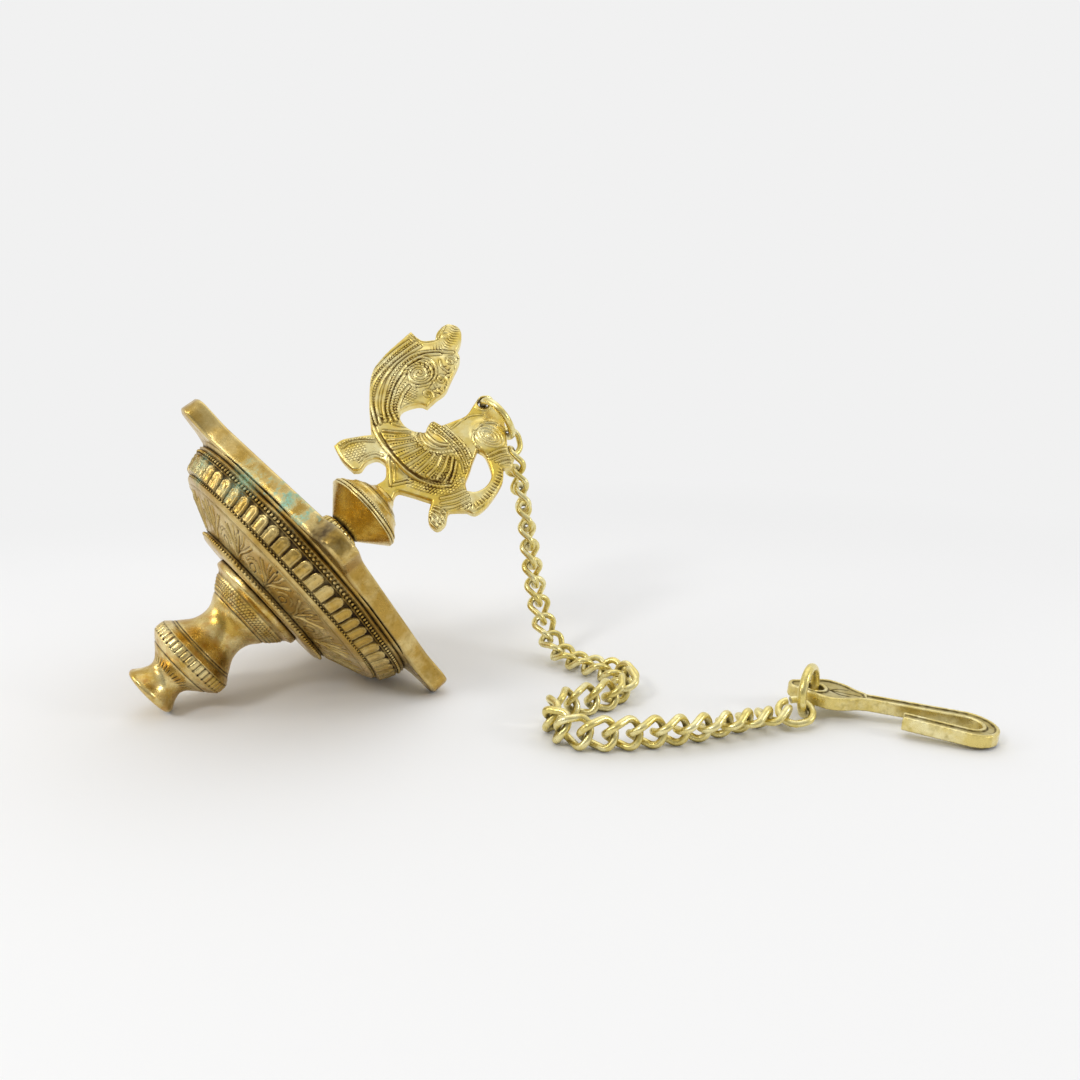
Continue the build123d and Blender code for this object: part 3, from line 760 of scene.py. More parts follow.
@dataclass
class Bowl:
    """The oil bowl: a turned cone, a fluted band, and a flat rim with five beaks.

    A row of kind "flute" or "five" follows the five-sided band, and one of kind "under", "wall" or
    "top" follows the rim's beaked outline, by its share.
    """

    seat_height: float = 44.4
    floor_height: float = 48.6
    bolt_radius: float = 3.15
    cone_start: Point = (28.4, 47.0)
    cone_end: Point = (45.4, 53.4)
    cone_radius: float = 37.0
    border: float = 46.2
    flute_bottom: float = 55.4
    flute_top: float = 61.0
    flute_flare: float = 2.6
    flute_radius: float = 48.2
    flute_width: float = 3.84
    flute_crown: float = 3.7
    moulding_flare: float = 1.2
    flute_count: int = 65
    band_bottom: float = 65.0
    band_top: float = 71.6
    wall_radius: float = 61.0
    wall_rounding: float = 1.2
    mouth: float = 46.6
    groove_width: float = 4.8
    groove_depth: float = 3.4
    groove_reach: float = 60.5
    spray_count: int = 15
    steps: int = 780

    @property
    def swell(self) -> float:
        """The radius of the fluted band's upper edge, at the middle of a side."""
        return self.border + self.flute_flare

    @property
    def lip(self) -> float:
        """The radius of the moulding under the rim."""
        return self.swell + self.moulding_flare

    def rows(self) -> list[Row]:
        """The bowl's profile from its seat out over the rim and back down inside."""
        swell, seat, floor = self.swell, self.seat_height, self.floor_height
        rows = rings((self.bolt_radius, seat), (14.0, seat), (26.3, seat), (27.5, 44.6), (28.4, 45.1),
                     (28.8, 45.7), (28.75, 46.4))
        rows += run(self.cone_start, self.cone_end, 40, "cone")
        rows += rings(self.cone_end, (45.9, 53.7), (46.3, 54.1), (46.2, 54.5), (45.9, 54.8), (46.2, 55.0),
                      (46.35, 55.2))
        rows += run((self.border, self.flute_bottom), (swell, self.flute_top), 15, "flute")
        mouldings = ((swell, self.flute_top), (swell - 0.35, 61.4), (swell - 0.4, 62.2), (swell + 0.1, 62.7),
                     (swell + 0.6, 63.1), (swell + 0.3, 63.6), (swell - 0.2, 64.0), (self.lip - 0.4, 64.5),
                     (self.lip, self.band_bottom))
        rows += [Row(radius, height, "five") for radius, height in mouldings]
        rows += [Row(50 + share * 8, self.band_bottom, "under", share) for share in (0.25, 0.5, 0.75, 1.0)]
        # The wall's edges are rounded by these shares of its rounding
        wall = ((60.2, 65.12, 0.82), (60.5, 65.4, 0.42), (60.8, 65.8, 0.1), (61.0, 66.3, 0.0),
                (61.0, 67.4, 0.0), (61.0, 68.6, 0.0), (61.0, 69.8, 0.0), (61.0, 70.8, 0.0),
                (60.9, 71.2, 0.08), (60.6, 71.48, 0.36), (60.2, 71.6, 0.8))
        rows += [Row(radius, height, "wall", share) for radius, height, share in wall]
        rows += [Row(59.6 - index, self.band_top, "top", 1 - index / 13) for index in range(14)]
        mouth = self.mouth
        return rows + rings(
            (mouth, 70.8), (mouth, 69.8), (mouth, 68.4), (mouth, 66.6), (mouth, 65.0), (45.4, 62.3),
            (44.2, 59.6), (43.0, 57.0), (38.0, 54.8), (32.0, 52.1), (24.0, floor), (14.0, floor),
            (9.4, floor), (self.bolt_radius, floor),
        )

    def build(self) -> None:
        """Makes the bowl's shell and its bead lines."""
        shell = Turned(self.rows(), self.steps, closed=True)
        radius, height = shell.of("radius"), shell.of("height")
        kind, share, angle = shell.of("kind"), shell.of("share"), shell.angle
        swell = five_sided(angle)
        outline = np.interp(angle, *beaked_outline(), period=FULL_TURN)
        lip = self.lip * swell
        five = (kind == "flute") | (kind == "five")
        radius = np.where(five, radius * swell, radius)
        radius = np.where(kind == "under", lip + share * (outline - self.wall_rounding - lip), radius)
        radius = np.where(kind == "wall", outline - self.wall_rounding * share, radius)
        radius = np.where(kind == "top", self.mouth + share * (outline - 1.6 - self.mouth), radius)
        tone = np.zeros(len(angle))
        self.flutes(shell, radius, tone)
        self.sprays(shell, radius, height, tone)
        height = self.wick_grooves(radius, height, angle)
        # The casting is slightly uneven, and the wall's edges are worn bright, with a painted highlight
        uneven = np.sin(angle * 3 + height) * np.sin(angle * 7 + 1.7 * height + radius * 0.3)
        radius = radius + 0.12 * uneven * (kind != "round")
        middle = (self.band_bottom + self.band_top) / 2
        tone += 0.35 * (kind == "wall") * (np.abs(height - middle) > 2.3)
        shell.finish("bowl_shell", "oil_bowl", Finish.BOWL, radius, height, tone, 50)
        bead_ring("seat_beads", 28.9, 45.75, 130, 0.55, Finish.BOWL)
        bead_ring("border_beads", 46.15, 54.75, 210, 0.42, Finish.BOWL)
        bead_ring("rim_beads", 48.85, 61.85, 210, 0.52, Finish.BOWL, five_sided)

    def flutes(self, shell: Turned, radius: np.ndarray, tone: np.ndarray) -> None:
        """Raises the arched tongues of the fluted band, in radius and tone."""
        around = self.flute_radius
        across = cells(shell.angle * around, FULL_TURN * around / self.flute_count)
        up = (shell.of("height") - self.flute_bottom) * 1.08 - self.flute_crown
        outside = np.where(up < 0, np.abs(across), np.hypot(across, up)) - self.flute_width / 2
        ring = bump(outside + 0.36, 0.42)
        gap = np.clip(outside / 0.25 + 0.3, 0, 1)
        panel = np.clip((-outside - 0.7) / 0.8, 0, 1)
        here = (shell.of("kind") == "flute").astype(float)
        radius += here * (0.42 * ring + 0.25 * panel - 0.75 * gap)
        tone += here * (0.5 * ring + 0.1 * panel - 1.0 * gap)

    def sprays(self, shell: Turned, radius: np.ndarray, height: np.ndarray, tone: np.ndarray) -> None:
        """Chases leaf sprays and fine lines on the cone, in radius, height and tone."""
        here = shell.of("kind") == "cone"
        slope = np.array(self.cone_end) - np.array(self.cone_start)
        length = float(np.linalg.norm(slope))
        up = (shell.of("radius")[here] - self.cone_start[0]) / slope[0] * length
        pitch = FULL_TURN * self.cone_radius / self.spray_count
        drawn = Relief(np.c_[cells(shell.angle[here] * self.cone_radius, pitch), up])
        for side in (-1, 1):
            drawn.cords(0.5, 0.42, [(side * 0.3, 1.6), (side * 1.2, 5.0), (side * 3.6, 8.6),
                                    (side * 5.6, 12.8)])
            drawn.cords(0.4, 0.32, [(side * 1.4, 8.2), (side * 2.2, 11.0), (side * 2.4, 14.8)])
            drawn.cords(0.4, 0.3, [(side * 4.6, 5.4), (side * 5.6, 7.6), (side * 7.0, 9.0)])
            drawn.grooves(0.34, 0.3, [(side * 6.6, 2.2), (side * 6.2, 4.4), (side * 7.4, 6.4)])
        drawn.cords(0.45, 0.35, [(0, 4.5), (0, 9.0), (0, 13.0)])
        drawn.grooves(0.5, 0.3, [(0, 14.2), (0, 15.4)])
        for level in (1.0, 16.4, 17.5):
            line = bump(up - level, 0.34)
            drawn.height += 0.3 * line
            drawn.tone += 0.5 * line - 0.8 * bump(up - level - 0.5, 0.22)
        radius[here] += drawn.height * slope[1] / length
        height[here] -= drawn.height * slope[0] / length
        tone[here] += drawn.tone

    def wick_grooves(self, radius: np.ndarray, height: np.ndarray, angle: np.ndarray) -> np.ndarray:
        """The height of each vertex with a rounded wick groove sunk into the rim at each beak."""
        side = cells(angle - FIRST_BEAK, 2 * HALF_BEAK_STEP)
        along, across = radius * np.cos(side), radius * np.sin(side)
        end = self.groove_reach - self.groove_width / 2
        reach = np.where(along < end, np.abs(across), np.hypot(along - end, across))
        inside = np.clip((self.groove_width / 2 - reach) / 0.35, 0, 1)
        rim = (height > self.band_bottom + 0.01) & (radius > self.mouth - 0.5) & (radius < self.wall_radius)
        tall = self.band_top - self.band_bottom
        low = self.band_bottom + (height - self.band_bottom) * (tall - self.groove_depth) / tall
        return np.where(rim, height + (low - height) * inside, height)


@dataclass
class Drop:
    """The turned drop finial under the bowl, from its foot to its flange."""

    belt_cells: int = 44
    belt_radius: float = 15.0
    neck_ticks: int = 38
    neck_radius: float = 8.0
    neck_height: float = 8.6
    grain_cells: int = 80
    grain_radius: float = 14.0
    grain_height: float = 38.0
    grain_pitch: float = 0.95
    top_height: float = 44.4
    # Turned lines, by height and depth
    lines: tuple[Point, ...] = ((14.35, 0.3), (17.45, 0.3), (11.6, 0.25), (19.6, 0.3), (20.4, 0.2),
                                (35.4, 0.35), (40.6, 0.3))

    def rows(self) -> list[Row]:
        """The drop's profile from the pole of the foot to the flange's top."""
        rows = curve([(0, -2.0), (4.05, -1.8), (8.1, -1.2)], 0.9)
        rows += [Row(8.1 + 1.2 * math.cos(a), 1.2 * math.sin(a)) for a in np.radians((-90, -60, -30, 0, 30))]
        rows += curve([(9.14, 0.6), (7.5, 3.1), (6.7, 5.4), (7.2, 7.3), (8.7, 8.9), (11.2, 10.9),
                       (14.3, 13.5)], 0.4)
        rows += run((14.3, 13.5), (15.0, 14.2), 3) + run((15.0, 14.2), (15.0, 17.6), 11, "belt")
        rows += run((15.0, 17.6), (14.3, 18.3), 3)
        rows += curve([(14.3, 18.3), (11.9, 21.2), (9.5, 24.7), (8.7, 28.2), (9.4, 31.6), (11.3, 34.4),
                       (13.6, 37.4), (15.4, 39.6), (16.5, 41.2)], 0.42)
        return rows + rings((16.5, 41.2), (17.6, 41.7), (18.3, 42.1), (18.5, 42.6), (18.5, 43.8),
                            (18.3, 44.2), (17.9, self.top_height), (0, self.top_height))

    def build(self) -> None:
        """Makes the drop with its notched belt, granular band and ticked neck."""
        form = Turned(self.rows(), self.belt_cells * 8)
        radius, height, angle = form.of("radius"), form.of("height"), form.angle
        outer = radius > 4
        belt = form.of("kind") == "belt"
        pitch = FULL_TURN * self.belt_radius / self.belt_cells
        notch = bump(np.abs(cells(angle * self.belt_radius, pitch)) - pitch / 2, 0.42)
        radius = radius - 0.5 * belt * notch
        tone = 0.25 * belt - belt * notch
        for level, depth in self.lines:
            line = bump(height - level, 0.4) * outer
            radius = radius - depth * line
            tone = tone - 0.8 * line
        neck = np.clip(1 - np.abs(height - self.neck_height) / 1.3, 0, 1) * outer
        ticks = cells(angle * self.neck_radius, FULL_TURN * self.neck_radius / self.neck_ticks)
        tick = bump(ticks, 0.32) * np.minimum(1, 2 * neck)
        radius = radius - 0.3 * tick
        tone = tone - 0.9 * tick
        band = np.clip((2.1 - np.abs(height - self.grain_height)) / 0.4, 0, 1) * outer
        above = height - self.grain_height + 2.0
        stagger = np.round(above / self.grain_pitch) % 2 * 0.55
        around = cells(angle * self.grain_radius + stagger, FULL_TURN * self.grain_radius / self.grain_cells)
        dot = np.clip(1 - (np.hypot(around, cells(above, self.grain_pitch)) / 0.52) ** 2, 0, 1)
        radius = radius + 0.38 * dot * band
        tone = tone + (dot - 0.65) * band
        form.finish("turned_drop", "drop_finial", Finish.DROP, radius, height, tone, 55)


@dataclass
class Post:
    """The stem in the bowl, with the beaded collar and the double-cone knob above it."""

    bolt_radius: float = 2.55
    bottom: float = 48.6
    stem_top: float = 76.0
    collar_top: float = 81.6
    top: float = 101.5
    collar_cells: int = 26
    collar_radius: float = 8.1
    knob_beads: int = 92

    def build(self) -> None:
        """Makes the stem, the collar and the knob."""
        self.stem()
        self.collar()
        self.knob()

    def stem(self) -> None:
        """The plain turned post that clamps the bowl's floor."""
        rows = rings((3.15, self.bottom), (9.0, self.bottom), (8.9, 49.0), (7.6, 51.2), (7.2, 51.6),
                     (5.5, 52.2))
        rows += run((5.2, 52.8), (5.2, 75.2), 12)
        rows += rings((5.2, 75.2), (5.0, self.stem_top), (self.bolt_radius, self.stem_top))
        form = Turned(rows, 72)
        radius, height = form.of("radius"), form.of("height")
        form.finish("turned_stem", "stem", Finish.KNOB, radius, height, np.zeros(len(radius)), 50)

    def collar(self) -> None:
        """The ring of oblong beads."""
        rows = rings((self.bolt_radius, self.stem_top), (5.4, self.stem_top), (6.4, 76.05))
        rows += curve([(6.6, 76.1), (7.7, 76.8), (8.1, 78.0), (8.1, 79.6), (7.7, 80.8), (6.6, 81.5)], 0.4)
        rows += rings((6.6, 81.5), (5.4, self.collar_top), (self.bolt_radius, self.collar_top))
        form = Turned(rows, self.collar_cells * 8)
        radius, height = form.of("radius"), form.of("height")
        around = self.collar_radius
        notch = bump(np.abs(cells(form.angle * around, FULL_TURN * around / self.collar_cells)) - 0.98, 0.5)
        waist = bump(height - 78.7, 0.45)
        outer = np.clip((radius - 6.4) / 0.8, 0, 1)
        cut = np.maximum(notch, 0.5 * waist) * outer
        tone = 0.3 * outer - 1.2 * cut
        form.finish("notched_collar", "beaded_collar", Finish.KNOB, radius - 0.6 * cut, height, tone)

    def knob(self) -> None:
        """Two cones that meet at a ridge, with lines and beads turned into them."""
        rows = rings((self.bolt_radius, self.collar_top), (5.2, self.collar_top))
        rows += curve([(5.5, 81.7), (8.4, 84.3), (11.9, 87.5), (14.9, 90.2)], 0.5)
        rows += rings((14.9, 90.2), (15.3, 90.5), (15.5, 90.8), (15.45, 91.1), (15.15, 91.3), (15.4, 91.5),
                      (15.5, 91.8), (15.45, 92.2), (15.1, 92.5), (14.6, 92.6), (13.9, 93.5), (13.5, 94.1))
        rows += run((13.5, 94.1), (11.3, 96.3), 7)
        rows += rings((11.3, 96.3), (11.2, 96.8), (10.8, 97.1), (10.2, 97.0), (10.0, 97.4), (9.7, 97.8),
                      (9.1, 98.0))
        rows += curve([(8.6, 98.7), (7.3, 99.3), (5.9, 100.2), (5.2, 101.2), (5.0, 101.5)], 0.35)
        rows += rings((5.0, self.top), (2.15, self.top))
        form = Turned(rows, 240)
        radius, height = form.of("radius"), form.of("height")
        tone = 0.5 * (radius > 15.4)
        for level in (91.3, 93.6, 97.2, 98.05):
            tone -= 0.8 * bump(height - level, 0.32) * (radius > 5.5)
        form.finish("turned_knob", "knob", Finish.KNOB, radius, height, tone, 60)
        bead_ring("knob_bead_line", 14.15, 93.15, self.knob_beads, 0.48, Finish.KNOB)


# Flat castings


def plate(edge: Field, low: Point, high: Point, spacing: float, thickness: float) -> bmesh.types.BMesh:
    """A fine flat plate inside an outline, centred on its own plane.

    Args:
        edge: The distance outside the outline, negative inside, of rows of points.
        low: The lowest corner of the plate's box.
        high: Its highest corner.
        spacing: The size of its faces.
        thickness: The plate's thickness.

    Returns:
        The closed plate.
    """
    mesh = bmesh.new()
    size = (high[0] - low[0], high[1] - low[1])
    counts = [max(4, round(length / spacing)) for length in size]
    middle = ((low[0] + high[0]) / 2, (low[1] + high[1]) / 2, 0)
    scale = Matrix.Diagonal((size[0] / 2, size[1] / 2, 1, 1))
    bmesh.ops.create_grid(mesh, x_segments=counts[0], y_segments=counts[1], size=1,
                          matrix=Matrix.Translation(middle) @ scale)
    centres = np.array([face.calc_center_median()[:2] for face in mesh.faces])
    outside = edge(centres) > 0
    bmesh.ops.delete(mesh, geom=[f for f, out in zip(mesh.faces, outside) if out], context="FACES")
    loose = [v for v in mesh.verts if not v.link_faces]
    bmesh.ops.delete(mesh, geom=loose, context="VERTS")
    rim = [v for v in mesh.verts if v.is_boundary]
    places = np.array([v.co[:2] for v in rim])
    # The stepped rim slides onto the outline along the field's slope
    nudge = 0.02
    for _ in range(3):
        gap = edge(places)
        way = np.c_[
            edge(places + (nudge, 0)) - edge(places - (nudge, 0)),
            edge(places + (0, nudge)) - edge(places - (0, nudge)),
        ] / (2 * nudge)
        places = places - gap[:, None] * way / np.maximum((way**2).sum(1), 0.3)[:, None]
    for vertex, spot in zip(rim, places):
        vertex.co = (*spot, 0)
    for face in mesh.faces:
        if face.normal.z < 0:
            face.normal_flip()
    bmesh.ops.solidify(mesh, geom=mesh.faces[:], thickness=thickness)
    bmesh.ops.recalc_face_normals(mesh, faces=mesh.faces)
    levels = [v.co.z for v in mesh.verts]
    centre = (min(levels) + max(levels)) / 2
    for vertex in mesh.verts:
        vertex.co.z -= centre
    return mesh


def outline_distance(loops: Sequence[np.ndarray]) -> Field:
    """A field of the distance outside closed loops, where later loops are holes in the first."""
    starts = np.vstack(loops).astype(np.float32)
    ends = np.vstack([np.roll(loop, -1, axis=0) for loop in loops]).astype(np.float32)
    batch = 4000

    def distance(points: np.ndarray) -> np.ndarray:
        """Distance outside the outline, negative inside it."""
        found = np.empty(len(points))
        way = ends - starts
        squares = np.maximum((way**2).sum(1), 1e-12)
        rise = np.where(np.abs(way[:, 1]) < 1e-9, 1e-9, way[:, 1])
        for first in range(0, len(points), batch):
            part = points[first:first + batch].astype(np.float32)
            east, north = part[:, :1] - starts[:, 0], part[:, 1:] - starts[:, 1]
            share = np.clip((east * way[:, 0] + north * way[:, 1]) / squares, 0, 1)
            nearest = np.sqrt(((east - share * way[:, 0]) ** 2 + (north - share * way[:, 1]) ** 2).min(1))
            # A point is inside if a line from it crosses the loops an odd number of times
            crosses = (starts[:, 1] > part[:, 1:]) != (ends[:, 1] > part[:, 1:])
            reach = starts[:, 0] + north / rise * way[:, 0]
            inside = (crosses & (part[:, :1] < reach)).sum(1) % 2 == 1
            found[first:first + batch] = np.where(inside, -nearest, nearest)
        return found

    return distance


def rounded_edge(depth: np.ndarray, radius: float) -> np.ndarray:
    """How far a face falls near its outline, at depths inside it, for a rounded edge."""
    near = np.clip(radius - depth, 0, radius)
    return radius - np.sqrt(np.maximum(radius**2 - near**2, 0))


@dataclass
class Casting:
    """A flat casting with relief on its faces.

    Its box, from low to high, holds the outline. The relief fades out near the edge, and the back
    shows a share of it, except round a plain spot.
    """

    name: str
    node: str
    body: str
    where: Placement
    look: Finish
    thickness: float
    low: Point
    high: Point
    spacing: float
    edge_round: float
    back_share: float
    plain_spot: Point | None = None
    plain_reach: Point = (3.0, 7.0)
    fade_depth: float = 0.7
    edge_share: float = 0.8
    sharp_turn: float = 62

    def edge(self) -> Field:
        """The outline's distance field."""
        raise NotImplementedError

    def draw(self, places: np.ndarray, depth: np.ndarray) -> Relief:
        """Draws the relief.

        Args:
            places: Points on the casting.
            depth: How far each lies inside the outline.

        Returns:
            The finished relief.
        """
        raise NotImplementedError

    def build(self) -> None:
        """Builds, carves, places and dresses the casting."""
        edge = self.edge()
        mesh = plate(edge, self.low, self.high, self.spacing, self.thickness)
        places = corners_of(mesh)
        flat, shared = np.unique(places[:, :2].round(5), axis=0, return_inverse=True)
        shared = shared.ravel()
        depth = np.maximum(-edge(flat), 0)
        relief = self.draw(flat, depth)
        height, tone, depth = relief.height[shared], relief.tone[shared], depth[shared]
        fade = np.clip(depth / self.fade_depth, 0, 1)
        side = np.sign(places[:, 2])
        share = np.full(len(places), self.back_share)
        if self.plain_spot:
            # The back stays plain where a link lies against it
            gap = np.hypot(*(places[:, :2] - self.plain_spot).T)
            share *= np.interp(gap, self.plain_reach, (0.0, 1.0))
        share = np.where(side > 0, 1.0, share)
        fallen = rounded_edge(depth, self.edge_round) * self.edge_share
        places[:, 2] += side * (height * fade * share - fallen)
        set_corners(mesh, places)
        sharpen(mesh, self.sharp_turn)
        made = placed(self.name, mesh, self.where, self.body)
        toned(made, tone * fade * np.sqrt(share))
        dress(made, self.look)
        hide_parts(self.node)


BIRD_OUTLINE: list[list[Point]] = [
    [(-4.6, 0.0), (-4.1, 4.0), (-6.1, 6.6), (-8.9, 8.4), (-12.5, 7.5), (-13.9, 3.9), (-13.1, 0.2),
     (-14.6, -2.0)],
    [(-14.6, -2.0), (-20.6, -2.0), (-27.2, -0.2)],
    [(-27.2, -0.2), (-27.1, 3.7), (-23.7, 9.5), (-21.3, 12.9)],
    [(-21.3, 12.9), (-31.6, 21.1), (-41.0, 30.7), (-44.0, 39.4), (-45.1, 51.6), (-45.3, 55.2)],
    [(-45.3, 55.2), (-41.4, 55.1), (-38.5, 55.9), (-35.9, 59.5)],
    [(-35.9, 59.5), (-38.2, 63.0), (-38.3, 68.0), (-34.5, 70.5), (-30.8, 69.1), (-27.5, 64.8), (-26.7, 62.3)],
    [(-26.7, 62.3), (-23.9, 61.4), (-21.9, 59.0), (-18.4, 51.2), (-16.1, 46.1), (-16.2, 40.9), (-15.9, 36.4)],
    [(-15.9, 36.4), (-18.9, 34.8), (-21.4, 29.0), (-19.8, 25.8), (-15.8, 24.6), (-11.6, 25.5), (-8.0, 28.2)],
    [(-8.0, 28.2), (-9.5, 30.8), (-9.6, 33.7), (-6.1, 34.8)],
    [(-6.1, 34.8), (-4.5, 39.2), (-2.9, 44.7), (-4.4, 50.5), (-5.2, 54.7), (-2.7, 57.4), (0.4, 57.0)],
    [(0.4, 57.0), (7.0, 54.8), (15.2, 48.6), (19.3, 45.4), (23.5, 43.8), (25.1, 41.4)],
    [(25.1, 41.4), (22.6, 38.7), (23.8, 38.3)],
    [(23.8, 38.3), (26.6, 34.8), (28.7, 28.3), (29.6, 22.4), (28.8, 18.3), (25.9, 16.9)],
    [(25.9, 16.9), (22.5, 13.3), (21.8, 11.5), (24.2, 7.8), (23.8, 4.1), (20.2, 3.7), (17.3, 5.9),
     (14.3, 10.3)],
    [(14.3, 10.3), (6.1, 6.1), (3.0, 4.1), (3.2, 2.0), (4.6, 0.0)],
    [(4.6, 0.0), (-4.6, 0.0)],
]
CHEST_HOLE: list[list[Point]] = [
    [(10.7, 37.4), (14.0, 37.9), (18.8, 35.9), (22.4, 33.2), (23.7, 28.8), (22.6, 24.8), (20.1, 22.7)],
    [(20.1, 22.7), (17.2, 24.8), (15.1, 29.0), (13.0, 32.6), (10.7, 37.4)],
]


@dataclass
class Peacock(Casting):
    """The flat-cast peacock, with chased feathers, bands and scales on both faces."""

    crest_hole: Point = (-2.4, 53.3)
    crest_hole_radius: float = 2.1
    drawing_shift: Point = (-4.8, 1.0)
    spiral_centre: Point = (-23.4, 42.8)

    def edge(self) -> Field:
        """The outline's distance field, with the chest's and the crest's holes."""
        outer, chest = (np.vstack([smooth_path(stroke, 0.75)[:-1] for stroke in strokes])
                        for strokes in (BIRD_OUTLINE, CHEST_HOLE))
        return outline_distance([outer, chest, circle_path(self.crest_hole, self.crest_hole_radius, 48)])

    def draw(self, places: np.ndarray, depth: np.ndarray) -> Relief:
        """Draws the peacock's swells and its chasing."""
        drawn = Relief(places, self.drawing_shift)
        drawn.dome((3.8, 20.0), (16.5, 10.5), 38, 1.9)
        drawn.dome((14.6, 43.4), (9.0, 7.0), 0, 0.7)
        drawn.dome((-24.0, 43.0), (9.5, 14.0), 12, 0.8)
        for chase in (self.tail, self.curls, self.wing, self.head, self.neck, self.lower, self.vine):
            chase(drawn)
        return drawn

    def tail(self, drawn: Relief) -> None:
        """Raised lines and barbed bands of the tail, and its tip."""
        drawn.cords(
            0.62, 0.55,
            [(-37.3, 50), (-37.6, 44), (-37.0, 37), (-35.5, 29.5), (-31.8, 23.5), (-26, 18.6), (-19.5, 15.2)],
            [(-34.9, 52), (-35.1, 44), (-34.9, 38.3), (-33.9, 31.1), (-31.3, 25.4), (-26.4, 20.8),
             (-18.5, 16)],
            [(-32.6, 52), (-33.2, 43.3), (-32.9, 36.9), (-31.3, 31.1), (-28.6, 26.1), (-24.3, 21.5),
             (-17.5, 17.4)],
            [(-21.8, 59.4), (-25.4, 56.1), (-28.6, 51.9), (-31.1, 47.6), (-31.8, 43.3), (-31.4, 38.3),
             (-29.6, 32.6), (-26.4, 27.6), (-22.5, 23.3), (-16.9, 19.4)],
            [(-24.6, 55.1), (-27.9, 50.4), (-29.2, 46.1), (-29.6, 41.9), (-28.4, 36.9), (-26.1, 31.9),
             (-23.6, 27.6), (-20, 23.3), (-15.4, 21.1)],
            [(-26.9, 38.4), (-25, 32.6), (-22.5, 28.3), (-19.3, 24.6), (-14.4, 22.6)],
            [(-21.8, 36.1), (-20.7, 31.9), (-18.4, 27.6), (-14.6, 24.6)],
        )
        drawn.barbs(
            1.15, 1.0, 0.34, 0.8,
            [(-36.2, 51), (-36.4, 44), (-36.0, 37.6), (-34.7, 30.3), (-31.5, 24.5), (-26.2, 19.7),
             (-19.0, 15.6)],
            [(-33.8, 52), (-34.2, 43.6), (-33.9, 37.6), (-32.6, 31.1), (-30, 25.8), (-25.4, 21.1),
             (-18.0, 16.7)],
        )
        drawn.barbs(
            1.25, 1.3, 0.38, -0.7,
            [(-27.8, 33.6), (-25.2, 29.2), (-22.6, 25.4), (-17.4, 21.2)],
            [(-27.2, 36.4), (-24.8, 31.4), (-21.6, 26.8), (-16, 22.4)],
            [(-24.0, 37.0), (-22.4, 31.4), (-19.6, 27), (-15, 24)],
        )
        drawn.barbs(1.2, 0.9, 0.34, 0.6, [(-30.2, 50), (-30.5, 45), (-30.6, 40), (-29.4, 34.5)])
        drawn.barbs(1.15, 2.8, 0.34, 0.25, [(-29.4, 68.0), (-27.0, 63.4), (-26.2, 58.6), (-27.4, 55.4)])
        drawn.ring((-29.6, 62.8), (1.6, 1.3), 30, 0.5, 0.5)
        drawn.cords(0.5, 0.42, [(-33.0, 65.4), (-31.4, 61.0), (-31.0, 58.4), (-33.4, 54.8), (-36.8, 53.6)])
        drawn.grain((-37.6, 52.2), (2.0, 2.4), 0, 0.95, 0.3)
        drawn.grain((-18.6, 33.8), (2.6, 4.4), 20, 1.0, 0.3)

    def curls(self, drawn: Relief) -> None:
        """The tail's spiral with its rays, and the three curled lobes beside it."""
        x, y = self.spiral_centre
        spiral = coil((x, y), (5.6, 5.6), (0.36, 0.36), np.linspace(0, 2.2 * FULL_TURN, 40), 2.4, -1)
        drawn.cords(0.55, 0.5, spiral)
        for ray in range(9):
            angle = 0.4 + ray * 0.42
            inner = (x + 3.2 * math.cos(angle), y + 3.2 * math.sin(angle))
            outer = (x + 6.2 * math.cos(angle + 0.35), y + 6.2 * math.sin(angle + 0.35))
            drawn.grooves(0.32, 0.3, [inner, outer])
        drawn.cords(0.5, 0.5, [(-29.6, 42), (-28.2, 48.4), (-23.6, 50.4), (-19.0, 47.6), (-17.6, 42.6),
                               (-19.6, 38.4)])
        for (x, y), turn in (((-19.4, 56.0), 0.6), ((-15.6, 47.4), 0.1), ((-14.4, 39.0), -0.3)):
            drawn.cords(0.48, 0.48, coil((x, y), (2.9, 2.5), (0.36, 0.31), np.linspace(0, 7.0, 22), turn, 1))
            for ray in range(6):
                angle = turn + 1.2 + ray * 0.55
                inner = (x - 3.1 * math.cos(angle), y + 3.0 * math.sin(angle))
                outer = (x - 4.9 * math.cos(angle + 0.2), y + 4.6 * math.sin(angle + 0.2))
                drawn.grooves(0.32, 0.32, [inner, outer])
        drawn.cords(0.45, 0.45, [(-22.4, 52.8), (-19.6, 51.4), (-16.0, 52.0)],
                    [(-17.6, 44.6), (-14.6, 43.6), (-11.6, 43.4)])

